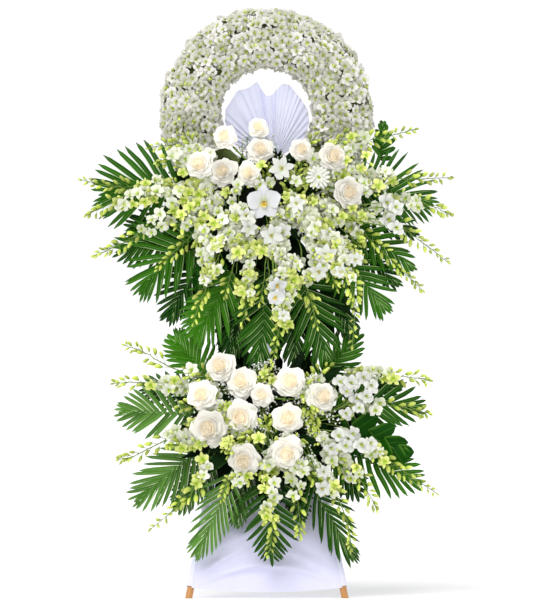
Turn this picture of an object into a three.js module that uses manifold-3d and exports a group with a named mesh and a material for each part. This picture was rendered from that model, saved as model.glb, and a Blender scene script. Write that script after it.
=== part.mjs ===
// Standing funeral spray: a cloth-wrapped bamboo tripod carries a wreath of white orchid florets
// with a gauze fan in its hole, and two sprays of palm fronds, orchids and roses.
// Millimetres, +Z up; x to the viewer's right, the front faces -Y, the feet stand on z = 0.
import * as THREE from 'three';
import { mergeVertices } from 'three/addons/utils/BufferGeometryUtils.js';
import Module from 'manifold-3d';

const wasm = await Module();
wasm.setup();

// The dimensions below count y from a plane through the wreath; this centres the whole on its footprint
const CENTRING = [0.6, -66.2, 0];

// Stand
const POLE_RADIUS = 10.5;
const POLE_SIDES = 8;
const WRAP_RADIUS = 13;
const WRAP_CLEARANCE = 0.4;
const WRAP_FROM = 32;
const WRAP_TO = 1085;
const FOOT_LEFT = [-223, -222, 0];
const FOOT_RIGHT = [225, -216, 0];
const FOOT_BACK = [0, 470, 0];
const APEX_LEFT = [0, 61, 1150];
const APEX_RIGHT = [0, 84, 1150];
const APEX_BACK = [0, 110.5, 1160];
const FRONT_POLE_TOP = 1225;
const BACK_POLE_TOP = 1162;
const POLE_TAPER = 0.5;
const BAR_RADIUS = 9.5;
const LOWER_BAR_HEIGHT = 480;
const LOWER_BAR_HALF = 150;
const UPPER_BAR_HALF = 110;
const LASHING = { bottom: 1140, top: 1160, halfX: 15, frontY: 47.8, backY: 127.6, thickness: 3.4 };

// Wreath
const RING_Z = 1395;
const RING_COLUMNS = 20;
const RING_SEGMENTS = 5;
const RING_BARE_ANGLE = 110;
const TRAY_LOWER_STEPS = 6;
const TRAY_SECTION = [[146, 38], [150, -15], [181, -41], [249, -41], [280, -15], [284, 38]];
const SHELL_CLEARANCE = 0.6;
const SHELL_SECTION = [[138, 30], [141, -22], [177, -51], [253, -51], [289, -22], [292, 30]];
const FLORET_LIFT = 13;

// Foam blocks: half width in x, then the ranges in y and z
const FOAM_UPPER = { halfX: 120, y: [-140, -41.3], z: [1030, 1240] };
const FOAM_LOWER = { halfX: 110, y: [-236, -136.2], z: [430, 590] };
const PEG_DEPTH = 22;
const PEG_CLEARANCE = 0.3;
const PEG_RADIUS = 6;

// The surface that the fronds of each spray lie in: it leans back with the stand, and curls back
// at the sides
const LEAN = 0.243;
const CURL = 0.0002;
const UPPER = { y: -75, z: 1135, foam: FOAM_UPPER };
const LOWER = { y: -165, z: 510, foam: FOAM_LOWER };

const FROND_THICKNESS = 0.9;
const RIB_HALF_WIDTH = 3;
const FLORET_RADIUS = 23;
const BUD_LENGTH = 19;
const BUD_RADIUS = 5;

const STRAP_HALF_WIDTH = 9;
const DROOP = 0.03;
const LEAFLET_GAP = 1.4;
const STEM_STEPS = 4;
const FLORETS_FROM = 0.2;
const FLORETS_TO = 0.6;
const COVER_SIZE = 1.25;
const PEG_STANDS_OUT = 12;
const ROSE_STEM_RADIUS = 3;
const HEAD_STEM_RADIUS = 2.2;
const ROSES_AHEAD = 124;

const SKIRT = {
  bottom: 30, top: 468, inset: 2, drawIn: 14, sag: 12, forward: 13.7,
  foldDepth: 9, thickness: 1.4, columns: 8, rows: 6,
};

// Lobes of the largest orchid blossoms: direction in degrees, half spread, reach
const MOTH_LOBES = [[18, 26, 1.05], [90, 19, 0.95], [162, 26, 1.05], [234, 17, 0.95], [306, 17, 0.95]];

// Rings of a rose from its foot to its heart, as fractions of its radius
const ROSE_DIVISIONS = 7;
const ROSE_WHORLS = [
  { size: 0.45, height: -0.6, wave: 0, rise: 0, turn: 0 },
  { size: 0.98, height: 0.02, wave: 0.1, rise: 0.06, turn: 0 },
  { size: 0.7, height: -0.04, wave: 0.05, rise: 0, turn: 0.2 },
  { size: 0.72, height: 0.4, wave: 0.09, rise: 0.07, turn: 0.4 },
  { size: 0.45, height: 0.3, wave: 0, rise: 0, turn: 0.5 },
  { size: 0.38, height: 0.66, wave: 0.08, rise: 0.06, turn: 0.8 },
];

// Fronds: the foam face and the place on it, then the route of the rib in x and z, the fraction of
// the route where leaflets begin, the number of pairs, the leaflet length and the layer
const UPPER_FRONDS = {
  frond_upper_left_1: {
    face: 'left', at: 1180, route: [[-245, 1188], [-340, 1182], [-440, 1166]],
    leafFrom: 0.36, pairs: 7, reach: 165, layer: 0,
  },
  frond_upper_left_2: {
    face: 'left', at: 1110, route: [[-200, 1072], [-300, 1035], [-410, 1000]],
    leafFrom: 0.3, pairs: 7, reach: 115, layer: 10,
  },
  frond_upper_left_3: {
    face: 'left', at: 1062, route: [[-200, 1040], [-280, 985], [-345, 900]],
    leafFrom: 0.3, pairs: 7, reach: 135, layer: 20,
  },
  frond_upper_down_left: {
    face: 'bottom', at: -85, route: [[-105, 930], [-150, 840], [-195, 770]],
    leafFrom: 0.3, pairs: 7, reach: 120, layer: 10,
  },
  frond_upper_down_centre: {
    face: 'bottom', at: -15, route: [[-8, 930], [-12, 800], [-20, 690]],
    leafFrom: 0.3, pairs: 7, reach: 110, layer: 20,
  },
  frond_upper_down_right: {
    face: 'bottom', at: 60, route: [[88, 940], [130, 830], [165, 700]],
    leafFrom: 0.3, pairs: 7, reach: 125, layer: 0,
  },
  frond_upper_right_3: {
    face: 'right', at: 1062, route: [[190, 1020], [262, 930], [325, 840]],
    leafFrom: 0.34, pairs: 7, reach: 115, layer: 10,
  },
  frond_upper_right_2: {
    face: 'right', at: 1115, route: [[215, 1090], [310, 1030], [405, 955]],
    leafFrom: 0.34, pairs: 7, reach: 95, layer: 20,
  },
  frond_upper_right_1: {
    face: 'right', at: 1165, route: [[245, 1170], [340, 1175], [450, 1140]],
    leafFrom: 0.36, pairs: 7, reach: 125, layer: 10,
  },
  frond_upper_right_0: {
    face: 'right', at: 1215, route: [[215, 1192], [300, 1222], [338, 1290], [340, 1365]],
    leafFrom: 0.66, pairs: 5, reach: 45, layer: 0, strap: 8,
  },
};

const LOWER_FRONDS = {
  frond_lower_left_1: {
    face: 'left', at: 575, route: [[-165, 632], [-215, 690], [-255, 735]],
    leafFrom: 0.3, pairs: 7, reach: 90, layer: 20,
  },
  frond_lower_left_2: {
    face: 'left', at: 530, route: [[-200, 528], [-310, 533], [-400, 530]],
    leafFrom: 0.3, pairs: 7, reach: 105, layer: 10,
  },
  frond_lower_left_3: {
    face: 'left', at: 470, route: [[-180, 430], [-270, 360], [-355, 295]],
    leafFrom: 0.3, pairs: 8, reach: 120, layer: 0,
  },
  frond_lower_down_left: {
    face: 'bottom', at: -80, route: [[-105, 350], [-150, 235], [-195, 145]],
    leafFrom: 0.3, pairs: 7, reach: 105, layer: 10,
  },
  frond_lower_down_centre: {
    face: 'bottom', at: 5, route: [[10, 340], [15, 220], [16, 125]],
    leafFrom: 0.3, pairs: 7, reach: 110, layer: 20,
  },
  frond_lower_down_right: {
    face: 'bottom', at: 85, route: [[120, 350], [180, 235], [235, 130]],
    leafFrom: 0.3, pairs: 7, reach: 115, layer: 0,
  },
  frond_lower_right_3: {
    face: 'right', at: 470, route: [[200, 440], [310, 385], [420, 335]],
    leafFrom: 0.3, pairs: 7, reach: 115, layer: 10,
  },
  frond_lower_right_2: {
    face: 'right', at: 530, route: [[200, 545], [310, 558], [425, 545]],
    leafFrom: 0.3, pairs: 7, reach: 105, layer: 20,
  },
  frond_lower_right_1: {
    face: 'right', at: 575, route: [[160, 625], [205, 680], [255, 745]],
    leafFrom: 0.3, pairs: 7, reach: 85, layer: 10,
  },
};

const LEAVES = {
  leaf_lobed_upper: {
    face: 'bottom', at: -50, route: [[-95, 985], [-160, 955], [-205, 900]],
    leafFrom: 0.4, pairs: 4, reach: 48, layer: 32, strap: 11, colour: 'leaf',
  },
  leaf_lobed_lower: {
    face: 'right', at: 502, route: [[200, 492], [300, 462], [395, 412]],
    leafFrom: 0.5, pairs: 5, reach: 72, layer: 33, strap: 11, angles: [60, 18], colour: 'leaf',
  },
};

// Orchid bunches: foam face and place, then for each spray its route in x and z, how far it keeps in
// front of the frond surface, its florets and its buds
const UPPER_ORCHIDS = {
  orchids_upper_left: {
    face: 'left', place: [-120, -115, 1155], sprays: [
      [[[-190, 1172], [-280, 1187], [-365, 1181], [-450, 1184], [-543, 1203]], 55, 4, 5],
      [[[-190, 1150], [-305, 1155], [-410, 1145], [-480, 1120], [-522, 1100]], 60, 3, 4],
      [[[-180, 1125], [-300, 1086], [-420, 1016], [-502, 982]], 55, 3, 5],
      [[[-165, 1095], [-245, 1014], [-320, 940]], 60, 3, 4],
      [[[-180, 1215], [-245, 1300], [-345, 1293]], [62, 105], 3, 4],
      [[[-180, 1200], [-255, 1262], [-320, 1250]], [62, 95], 2, 2],
    ],
  },
  orchids_upper_right: {
    face: 'right', place: [120, -115, 1155], sprays: [
      [[[180, 1220], [240, 1300], [340, 1325], [435, 1350]], [62, 108], 4, 5],
      [[[215, 1200], [325, 1212], [415, 1205], [542, 1210]], 62, 3, 5],
      [[[200, 1172], [270, 1178], [385, 1152], [485, 1123], [536, 1100]], 55, 4, 5],
      [[[200, 1135], [350, 1092], [440, 1028], [527, 962]], 60, 4, 5],
      [[[180, 1110], [262, 1060], [368, 962], [453, 879]], 55, 3, 5],
    ],
  },
  orchids_upper_down_left: {
    face: 'front', place: [-75, -140, 1055], sprays: [
      [[[-135, 1010], [-165, 905], [-190, 855], [-212, 783]], 78, 3, 5],
      [[[-65, 985], [-52, 900], [-57, 850], [-71, 776]], 78, 3, 4],
      [[[-105, 1085], [-115, 1130], [-100, 1178]], [80, 92], 3, 0],
    ],
  },
  orchids_upper_down_centre: {
    face: 'front', place: [10, -140, 1055], sprays: [
      [[[25, 1000], [42, 900], [40, 800], [11, 656]], 80, 5, 5],
      [[[34, 1075], [52, 1110], [48, 1150]], [80, 92], 3, 0],
    ],
  },
  orchids_upper_down_right: {
    face: 'front', place: [85, -140, 1055], sprays: [
      [[[100, 990], [114, 899], [128, 850], [147, 770]], 78, 3, 4],
      [[[160, 1010], [232, 913], [253, 855], [246, 713]], 78, 4, 5],
      [[[90, 1095], [112, 1120], [122, 1148]], [84, 92], 3, 0],
    ],
  },
};

const LOWER_ORCHIDS = {
  orchids_lower_left: {
    face: 'left', place: [-110, -215, 510], sprays: [
      [[[-180, 620], [-290, 668], [-360, 708], [-411, 725]], 60, 3, 4],
      [[[-185, 580], [-280, 612], [-390, 617], [-443, 615]], 55, 4, 4],
      [[[-190, 500], [-264, 467], [-378, 409], [-426, 396]], 60, 3, 5],
      [[[-165, 420], [-200, 323], [-250, 270], [-336, 195]], 55, 3, 5],
    ],
  },
  orchids_lower_right: {
    face: 'right', place: [110, -215, 510], sprays: [
      [[[180, 620], [250, 640], [340, 639], [428, 631], [472, 622]], 60, 4, 5],
      [[[190, 540], [325, 553], [428, 539], [470, 527]], 55, 4, 4],
      [[[200, 460], [325, 409], [413, 351], [492, 298]], 60, 4, 5],
      [[[180, 425], [262, 351], [296, 294], [317, 253]], 55, 3, 4],
    ],
  },
  orchids_lower_down: {
    face: 'bottom', place: [40, -222, 430], sprays: [
      [[[130, 370], [195, 305], [236, 200], [240, 137]], 58, 4, 5],
      [[[72, 366], [95, 225], [96, 175]], 62, 3, 3],
      [[[12, 370], [8, 279], [16, 195], [4, 123]], 58, 4, 5],
    ],
  },
};

// Heads on one peg: place on the foam's front, then x, z and radius of each head
const UPPER_ROSES = {
  roses_upper_left: {
    place: [-70, -140, 1195], heads: [[-196, 1249, 35], [-128, 1223, 33], [-54, 1219, 32]],
  },
  roses_upper_top: { place: [-25, -140, 1226], heads: [[-19, 1293, 33], [-122, 1328, 31], [-24, 1356, 28]] },
  roses_upper_right: { place: [100, -140, 1205], heads: [[102, 1290, 31], [195, 1270, 40], [240, 1166, 42]] },
};

const LOWER_ROSES = {
  roses_lower_top: { place: [-84, -236, 578], heads: [[-134, 668, 36], [-72, 618, 38], [-76, 526, 42]] },
  roses_lower_left: { place: [-95, -236, 470], heads: [[-190, 582, 37], [-170, 484, 42]] },
  roses_lower_centre: { place: [0, -236, 450], heads: [[-66, 396, 42], [56, 414, 44], [62, 512, 40]] },
  roses_lower_right: { place: [50, -236, 570], heads: [[71, 622, 38], [163, 580, 39], [-12, 586, 26]] },
};

const WHITE_BLOOMS = {
  white_blooms_upper: {
    tier: UPPER, place: [0, -140, 1140], ahead: 122, heads: [
      [-7, 1135, 50], [40, 1218, 38], [-20, 1036, 28], [-66, 1086, 26], [142, 1202, 34, 'daisy'],
      [36, 905, 26, 'moth', 4],
    ],
  },
  white_blooms_upper_right: {
    tier: UPPER, place: [95, -140, 1110], ahead: 112, heads: [
      [171, 985, 34], [140, 925, 29], [255, 972, 25], [356, 1134, 34], [359, 1072, 32],
    ],
  },
  white_blooms_lower: {
    tier: LOWER, place: [95, -236, 490], ahead: 115, heads: [
      [226, 606, 28], [270, 632, 27], [288, 582, 28], [228, 528, 26], [205, 468, 24], [245, 428, 24],
      [162, 372, 24],
    ],
  },
};

// Fan of gathered gauze: its gather, its rim from left to right in x and z, and its pleats
const BOW = {
  gather: [20, 1268], y: -6, neck: 9, pleat: 6, thickness: 1.2, columns: 16, rows: 2, pin: 30,
  rim: [
    [-100, 1372], [-110, 1415], [-84, 1465], [-53, 1472], [-27, 1490], [-13, 1466], [-1, 1449],
    [16, 1452], [30, 1469], [48, 1484], [68, 1481], [88, 1454], [100, 1440], [110, 1412], [112, 1382],
  ],
};

const COLOUR = {
  bamboo: 0xc9a05e,
  wrap: 0xe6e4f2,
  skirt: 0xe4e2f4,
  lashing: 0xd8d2c0,
  foam: 0x2f5a34,
  frond: 0x2f6b24,
  orchid: 0xdfe5b4,
  white: 0xf0f0ea,
  rose: 0xf6ead6,
  ring: 0xe4e8d6,
  bow: 0xdcdcf2,
  leaf: 0x1f5a2a,
  gypsophila: 0xeef0ea,
};

const part = new THREE.Group();

function vec(p) {
  return new THREE.Vector3(p[0], p[1], p[2]);
}

function mix(a, b, t) {
  return a.clone().lerp(b, t);
}

// Seeded random numbers between 0 and 1
function randomFrom(seed) {
  let state = seed * 2654435761 % 4294967296;
  return () => {
    state = (state * 1664525 + 1013904223) % 4294967296;
    return state / 4294967296;
  };
}

// Collects the vertices and triangles of one closed body
class Body {
  constructor() {
    this.points = [];
    this.faces = [];
  }

  point(p) {
    this.points.push(p.x, p.y, p.z);
    return this.points.length / 3 - 1;
  }

  tri(a, b, c) {
    this.faces.push(a, b, c);
  }

  quad(a, b, c, d) {
    this.tri(a, b, c);
    this.tri(a, c, d);
  }

  solid() {
    const made = new wasm.Manifold(new wasm.Mesh({
      numProp: 3,
      vertProperties: new Float32Array(this.points),
      triVerts: new Uint32Array(this.faces),
    }));
    if (made.volume() > 0) return made;
    const turned = [];
    for (let i = 0; i < this.faces.length; i += 3) {
      turned.push(this.faces[i], this.faces[i + 2], this.faces[i + 1]);
    }
    this.faces = turned;
    return this.solid();
  }
}

// Joins solids into one body
function union(solids) {
  return solids.reduce((joined, solid) => joined.add(solid));
}

// Solid from a closed three.js geometry
function solidOf(geometry) {
  const bare = geometry.clone();
  bare.deleteAttribute('normal');
  bare.deleteAttribute('uv');
  const merged = mergeVertices(bare, 1e-4);
  return new wasm.Manifold(new wasm.Mesh({
    numProp: 3,
    vertProperties: new Float32Array(merged.attributes.position.array),
    triVerts: new Uint32Array(merged.index.array),
  }));
}

function addNode(name, solid, colour, roughness) {
  const mesh = solid.getMesh();
  const geometry = new THREE.BufferGeometry();
  geometry.setAttribute('position', new THREE.BufferAttribute(mesh.vertProperties, 3));
  geometry.setIndex(new THREE.BufferAttribute(mesh.triVerts, 1));
  geometry.translate(...CENTRING);
  const node = new THREE.Mesh(geometry, new THREE.MeshStandardMaterial({
    color: COLOUR[colour],
    roughness,
    metalness: 0,
  }));
  node.name = name;
  part.add(node);
}

// Axes across a direction: one level, one upright
function across(direction) {
  const up = Math.abs(direction.z) > 0.95 ? new THREE.Vector3(0, 1, 0) : new THREE.Vector3(0, 0, 1);
  const side = new THREE.Vector3().crossVectors(direction, up).normalize();
  return [side, new THREE.Vector3().crossVectors(direction, side).normalize()];
}

// Closed tube through points; radii has one value for each point
function tube(points, radii, sides) {
  const body = new Body();
  let side = null;
  const rings = points.map((p, i) => {
    const before = points[Math.max(0, i - 1)];
    const after = points[Math.min(points.length - 1, i + 1)];
    const along = after.clone().sub(before).normalize();
    side = side ? side.sub(along.clone().multiplyScalar(side.dot(along))).normalize() : across(along)[0];
    const other = new THREE.Vector3().crossVectors(along, side);
    return Array.from({ length: sides }, (_, k) => {
      const angle = 2 * Math.PI * k / sides;
      return body.point(p.clone()
        .addScaledVector(side, radii[i] * Math.cos(angle))
        .addScaledVector(other, radii[i] * Math.sin(angle)));
    });
  });
  for (let i = 0; i + 1 < rings.length; i++) {
    for (let k = 0; k < sides; k++) {
      const next = (k + 1) % sides;
      body.quad(rings[i][k], rings[i][next], rings[i + 1][next], rings[i + 1][k]);
    }
  }
  const last = rings[rings.length - 1];
  for (let k = 1; k + 1 < sides; k++) {
    body.tri(rings[0][0], rings[0][k + 1], rings[0][k]);
    body.tri(last[0], last[k], last[k + 1]);
  }
  return body.solid();
}

function box(low, high) {
  const size = high.map((value, i) => value - low[i]);
  const middle = high.map((value, i) => (value + low[i]) / 2);
  return solidOf(new THREE.BoxGeometry(...size).translate(...middle));
}

// Sheet of a given thickness: at(u, v) gives the middle surface, and the thickness runs along y
function sheet(columns, rows, thickness, at) {
  const body = new Body();
  const half = new THREE.Vector3(0, thickness / 2, 0);
  const grids = [-1, 1].map((sign) => Array.from({ length: columns + 1 }, (_, i) =>
    Array.from({ length: rows + 1 }, (_, j) =>
      body.point(at(i / columns, j / rows).addScaledVector(half, sign)))));
  const [front, back] = grids;
  for (let i = 0; i < columns; i++) {
    for (let j = 0; j < rows; j++) {
      body.quad(front[i][j], front[i + 1][j], front[i + 1][j + 1], front[i][j + 1]);
      body.quad(back[i][j], back[i][j + 1], back[i + 1][j + 1], back[i + 1][j]);
    }
  }
  const rim = [];
  for (let i = 0; i < columns; i++) rim.push([i, 0]);
  for (let j = 0; j < rows; j++) rim.push([columns, j]);
  for (let i = columns; i > 0; i--) rim.push([i, rows]);
  for (let j = rows; j > 0; j--) rim.push([0, j]);
  rim.forEach(([i, j], k) => {
    const [m, n] = rim[(k + 1) % rim.length];
    body.quad(front[i][j], back[i][j], back[m][n], front[m][n]);
  });
  return body.solid();
}

// Stand

function poleAt(foot, apex, height) {
  const t = (height - foot[2]) / (apex[2] - foot[2]);
  return vec(foot).lerp(vec(apex), t);
}

// Bamboo pole, cut flat on the floor
function pole(foot, apex, top) {
  const points = [-40, top].map((height) => poleAt(foot, apex, height));
  const radii = [POLE_RADIUS, POLE_RADIUS - POLE_TAPER];
  const floor = box([foot[0] - 60, foot[1] - 60, -80], [foot[0] + 60, foot[1] + 60, 0]);
  return tube(points, radii, POLE_SIDES).subtract(floor);
}

// Cloth sleeve around a pole
function wrapSleeve(foot, apex) {
  const body = new Body();
  const low = poleAt(foot, apex, WRAP_FROM);
  const high = poleAt(foot, apex, WRAP_TO);
  const [side, up] = across(high.clone().sub(low).normalize());
  const inside = POLE_RADIUS + WRAP_CLEARANCE;
  const rings = [[low, WRAP_RADIUS], [high, WRAP_RADIUS], [high, inside], [low, inside]]
    .map(([centre, radius]) => Array.from({ length: POLE_SIDES }, (_, k) => {
      const angle = 2 * Math.PI * k / POLE_SIDES;
      return body.point(centre.clone()
        .addScaledVector(side, radius * Math.cos(angle))
        .addScaledVector(up, radius * Math.sin(angle)));
    }));
  rings.forEach((ring, i) => {
    const other = rings[(i + 1) % rings.length];
    ring.forEach((_, k) => {
      const next = (k + 1) % POLE_SIDES;
      body.quad(ring[k], ring[next], other[next], other[k]);
    });
  });
  return body.solid();
}

function lashing() {
  const { bottom, top, halfX, frontY, backY, thickness } = LASHING;
  const outline = (grow) => {
    const x = halfX + grow;
    const low = frontY - grow;
    const high = backY + grow;
    const corner = 6;
    return [[-x, low + corner], [-x + corner, low], [x - corner, low], [x, low + corner],
      [x, high - corner], [x - corner, high], [-x + corner, high], [-x, high - corner]]
      .map(([px, py]) => new THREE.Vector2(px, py));
  };
  const shape = new THREE.Shape(outline(thickness));
  shape.holes.push(new THREE.Path(outline(0)));
  const band = new THREE.ExtrudeGeometry(shape, { depth: top - bottom, bevelEnabled: false });
  return solidOf(band.translate(0, 0, bottom));
}

function buildStand() {
  addNode('leg_left', pole(FOOT_LEFT, APEX_LEFT, FRONT_POLE_TOP), 'bamboo', 0.55);
  addNode('leg_right', pole(FOOT_RIGHT, APEX_RIGHT, FRONT_POLE_TOP), 'bamboo', 0.55);
  addNode('leg_back', pole(FOOT_BACK, APEX_BACK, BACK_POLE_TOP), 'bamboo', 0.55);
  addNode('wrap_left', wrapSleeve(FOOT_LEFT, APEX_LEFT), 'wrap', 0.85);
  addNode('wrap_right', wrapSleeve(FOOT_RIGHT, APEX_RIGHT), 'wrap', 0.85);
  addNode('wrap_back', wrapSleeve(FOOT_BACK, APEX_BACK), 'wrap', 0.85);
  addNode('apex_lashing', lashing(), 'lashing', 0.9);

  const inFront = WRAP_RADIUS / Math.cos(Math.atan(LEAN)) + BAR_RADIUS + 0.6;
  const left = poleAt(FOOT_LEFT, APEX_LEFT, LOWER_BAR_HEIGHT);
  const right = poleAt(FOOT_RIGHT, APEX_RIGHT, LOWER_BAR_HEIGHT);
  const middle = mix(left, right, 0.5);
  const along = right.clone().sub(left).normalize();
  const ends = [-LOWER_BAR_HALF, LOWER_BAR_HALF].map((s) => {
    const end = middle.clone().addScaledVector(along, s);
    end.y -= inFront;
    return end;
  });
  addNode('crossbar_lower', tube(ends, [BAR_RADIUS, BAR_RADIUS], POLE_SIDES), 'bamboo', 0.55);

  const height = RING_Z - TRAY_SECTION[5][0] - BAR_RADIUS - 0.3;
  const behind = poleAt(FOOT_LEFT, APEX_LEFT, height).y - POLE_RADIUS - BAR_RADIUS - 0.2;
  const upper = [-UPPER_BAR_HALF, UPPER_BAR_HALF].map((x) => new THREE.Vector3(x, behind, height));
  addNode('crossbar_upper', tube(upper, [BAR_RADIUS, BAR_RADIUS], POLE_SIDES), 'bamboo', 0.55);
}

// Wreath: a point from an angle clockwise from the top, a radius and a depth
function ringPoint(angle, radius, y) {
  const a = THREE.MathUtils.degToRad(angle);
  return new THREE.Vector3(radius * Math.sin(a), y, RING_Z + radius * Math.cos(a));
}

function trayAngles() {
  const half = 180 - RING_BARE_ANGLE / 2;
  const angles = [];
  for (let i = 0; i < RING_COLUMNS; i++) angles.push(-half + 2 * half * i / RING_COLUMNS);
  for (let i = 0; i < TRAY_LOWER_STEPS; i++) angles.push(half + RING_BARE_ANGLE * i / TRAY_LOWER_STEPS);
  return angles;
}

function tray() {
  const body = new Body();
  const [x, z] = BOW.gather;
  const hole = box([x - 4, BOW.y - 4, z - BOW.pin - 14], [x + 4, BOW.y + 4, z]);
  const rings = trayAngles().map((angle) => TRAY_SECTION.map(([r, y]) => body.point(ringPoint(angle, r, y))));
  rings.forEach((ring, i) => {
    const next = rings[(i + 1) % rings.length];
    ring.forEach((_, k) => {
      const m = (k + 1) % ring.length;
      body.quad(ring[k], ring[m], next[m], next[k]);
    });
  });
  return body.solid().subtract(hole);
}

// Joins an outer loop of vertices to an inner loop that it surrounds, in order of angle
function stitch(body, outer, inner, underneath = false) {
  const tri = (a, b, c) => (underneath ? body.tri(a, c, b) : body.tri(a, b, c));
  let i = 0;
  let j = 0;
  const n = outer.length;
  const m = inner.length;
  const outerAt = (k) => outer[k % n].angle + 2 * Math.PI * Math.floor(k / n);
  const innerAt = (k) => inner[k % m].angle + 2 * Math.PI * Math.floor(k / m);
  while (i < n || j < m) {
    if (j >= m || (i < n && outerAt(i + 1) <= innerAt(j + 1))) {
      tri(outer[i % n].id, outer[(i + 1) % n].id, inner[j % m].id);
      i++;
    } else {
      tri(outer[i % n].id, inner[(j + 1) % m].id, inner[j % m].id);
      j++;
    }
  }
}

// One floret that rises out of a four-cornered cell: a sunk eye, five valleys and five petal tips
function cellFloret(body, corners, random) {
  const p = corners.map((c) => c.position);
  const middle = p[0].clone().add(p[1]).add(p[2]).add(p[3]).multiplyScalar(0.25);
  const u = p[1].clone().add(p[2]).sub(p[0]).sub(p[3]).multiplyScalar(0.25);
  const v = p[2].clone().add(p[3]).sub(p[0]).sub(p[1]).multiplyScalar(0.25);
  const out = new THREE.Vector3().crossVectors(u, v).normalize();
  const at = (angle, size, lift) => middle.clone()
    .addScaledVector(u, size * Math.cos(angle))
    .addScaledVector(v, size * Math.sin(angle))
    .addScaledVector(out, lift);
  const turn = -Math.PI + 0.1 + random() * 0.9;
  const lift = FLORET_LIFT * (0.7 + 0.3 * random());
  const valleys = [];
  const tips = [];
  for (let k = 0; k < 5; k++) {
    const angle = turn + 2 * Math.PI * k / 5;
    valleys.push({ angle, id: body.point(at(angle, 0.5, 1.5)) });
    tips.push(body.point(at(angle + Math.PI / 5, 1.04, lift)));
  }
  const eye = body.point(at(0, 0, lift * 0.45));
  for (let k = 0; k < 5; k++) {
    const next = valleys[(k + 1) % 5].id;
    body.tri(eye, valleys[k].id, tips[k]);
    body.tri(eye, tips[k], next);
    body.tri(valleys[k].id, next, tips[k]);
  }
  const outer = corners.map((c, k) => ({ id: c.id, angle: -3 * Math.PI / 4 + k * Math.PI / 2 }));
  stitch(body, outer, valleys);
}

// A stretch of florets: a shell open at the back, with a floret in every cell of its outer face
function floretSegment(index) {
  const body = new Body();
  const random = randomFrom(index + 11);
  const columns = RING_COLUMNS / RING_SEGMENTS;
  const half = 180 - RING_BARE_ANGLE / 2;
  const angleAt = (i) => {
    const angle = -half + 2 * half * (index * columns + i) / RING_COLUMNS;
    if (i === 0) return angle + 0.25;
    return i === columns ? angle - 0.25 : angle;
  };
  const grow = [[-1, 0], [-1, -0.6], [-0.6, -1], [0.6, -1], [1, -0.6], [1, 0]];
  const innerSection = TRAY_SECTION.map(([r, y], k) => [
    r + grow[k][0] * SHELL_CLEARANCE * 1.6,
    (k === 0 || k === 5 ? SHELL_SECTION[k][1] : y + grow[k][1] * SHELL_CLEARANCE),
  ]);
  const grid = (section) => Array.from({ length: columns + 1 }, (_, i) => section.map(([r, y]) => {
    const position = ringPoint(angleAt(i), r, y);
    return { position, id: body.point(position) };
  }));
  const outer = grid(SHELL_SECTION);
  const inner = grid(innerSection);
  const rows = SHELL_SECTION.length - 1;
  for (let i = 0; i < columns; i++) {
    for (let k = 0; k < rows; k++) {
      cellFloret(body, [outer[i][k], outer[i + 1][k], outer[i + 1][k + 1], outer[i][k + 1]], random);
      body.quad(inner[i][k].id, inner[i][k + 1].id, inner[i + 1][k + 1].id, inner[i + 1][k].id);
    }
    body.quad(outer[i + 1][0].id, outer[i][0].id, inner[i][0].id, inner[i + 1][0].id);
    body.quad(outer[i][rows].id, outer[i + 1][rows].id, inner[i + 1][rows].id, inner[i][rows].id);
  }
  for (let k = 0; k < rows; k++) {
    body.quad(outer[0][k].id, outer[0][k + 1].id, inner[0][k + 1].id, inner[0][k].id);
    body.quad(outer[columns][k + 1].id, outer[columns][k].id, inner[columns][k].id, inner[columns][k + 1].id);
  }
  return body.solid();
}

function buildWreath() {
  addNode('ring_form', tray(), 'foam', 0.9);
  for (let i = 0; i < RING_SEGMENTS; i++) {
    addNode('ring_flowers_' + (i + 1), floretSegment(i), 'ring', 0.7);
  }
}

// Cloth between the front legs: edges that draw in upwards, and folds that swag from corner to corner
function skirtPoint(u, v) {
  const height = SKIRT.bottom + (SKIRT.top - SKIRT.bottom) * v;
  const drawn = SKIRT.drawIn * Math.pow(v, 0.75);
  const left = poleAt(FOOT_LEFT, APEX_LEFT, height);
  const right = poleAt(FOOT_RIGHT, APEX_RIGHT, height);
  const leftX = left.x + SKIRT.inset + drawn;
  const x = leftX + (right.x - SKIRT.inset - drawn - leftX) * u;
  const sag = Math.sin(Math.PI * u);
  const z = height - SKIRT.sag * sag * (1 - v);
  const plane = left.y + (right.y - left.y) * u - LEAN * (height - z) - SKIRT.forward;
  const fold = (centre, width) => Math.exp(-Math.pow((z - centre) / width, 2));
  const ridges = SKIRT.foldDepth * sag * (fold(40 + 52 * sag, 16) + fold(130 + 60 * sag, 30));
  return new THREE.Vector3(x, plane - ridges, z);
}

// Pleated fan that opens upwards from its gather, which a pin holds in the wreath's form
function bow() {
  const { gather: [x, z], y, neck, pleat, thickness, columns, rows, pin, rim } = BOW;
  const rimAt = (u) => {
    const place = Math.min(u * (rim.length - 1), rim.length - 1.0001);
    const [a, b] = [rim[Math.floor(place)], rim[Math.floor(place) + 1]];
    const t = place - Math.floor(place);
    return new THREE.Vector3(a[0] + (b[0] - a[0]) * t, y, a[1] + (b[1] - a[1]) * t);
  };
  const fan = sheet(columns, rows, thickness, (u, v) => {
    const foot = new THREE.Vector3(x + neck * (2 * u - 1), y, z);
    const p = mix(foot, rimAt(u), v);
    p.y += pleat * Math.min(1, v + 0.25) * (Math.round(u * columns) % 2 ? 1 : -1);
    return p;
  });
  const knot = new THREE.Vector3(x, y, z + 6);
  const foot = new THREE.Vector3(x, y, z - pin - 6);
  return fan.add(tube([knot, foot], [3.2, 3.2], 6));
}

// Foam blocks and their holes
const holes = new Map([[UPPER, []], [LOWER, []]]);

function surfaceY(tier, x, z) {
  return tier.y + LEAN * (z - tier.z) + CURL * x * x;
}

// A point some way in front of a spray's frond surface
function inFrontOf(tier, [x, z], distance) {
  return new THREE.Vector3(x, surfaceY(tier, x, z) - distance, z);
}

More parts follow.
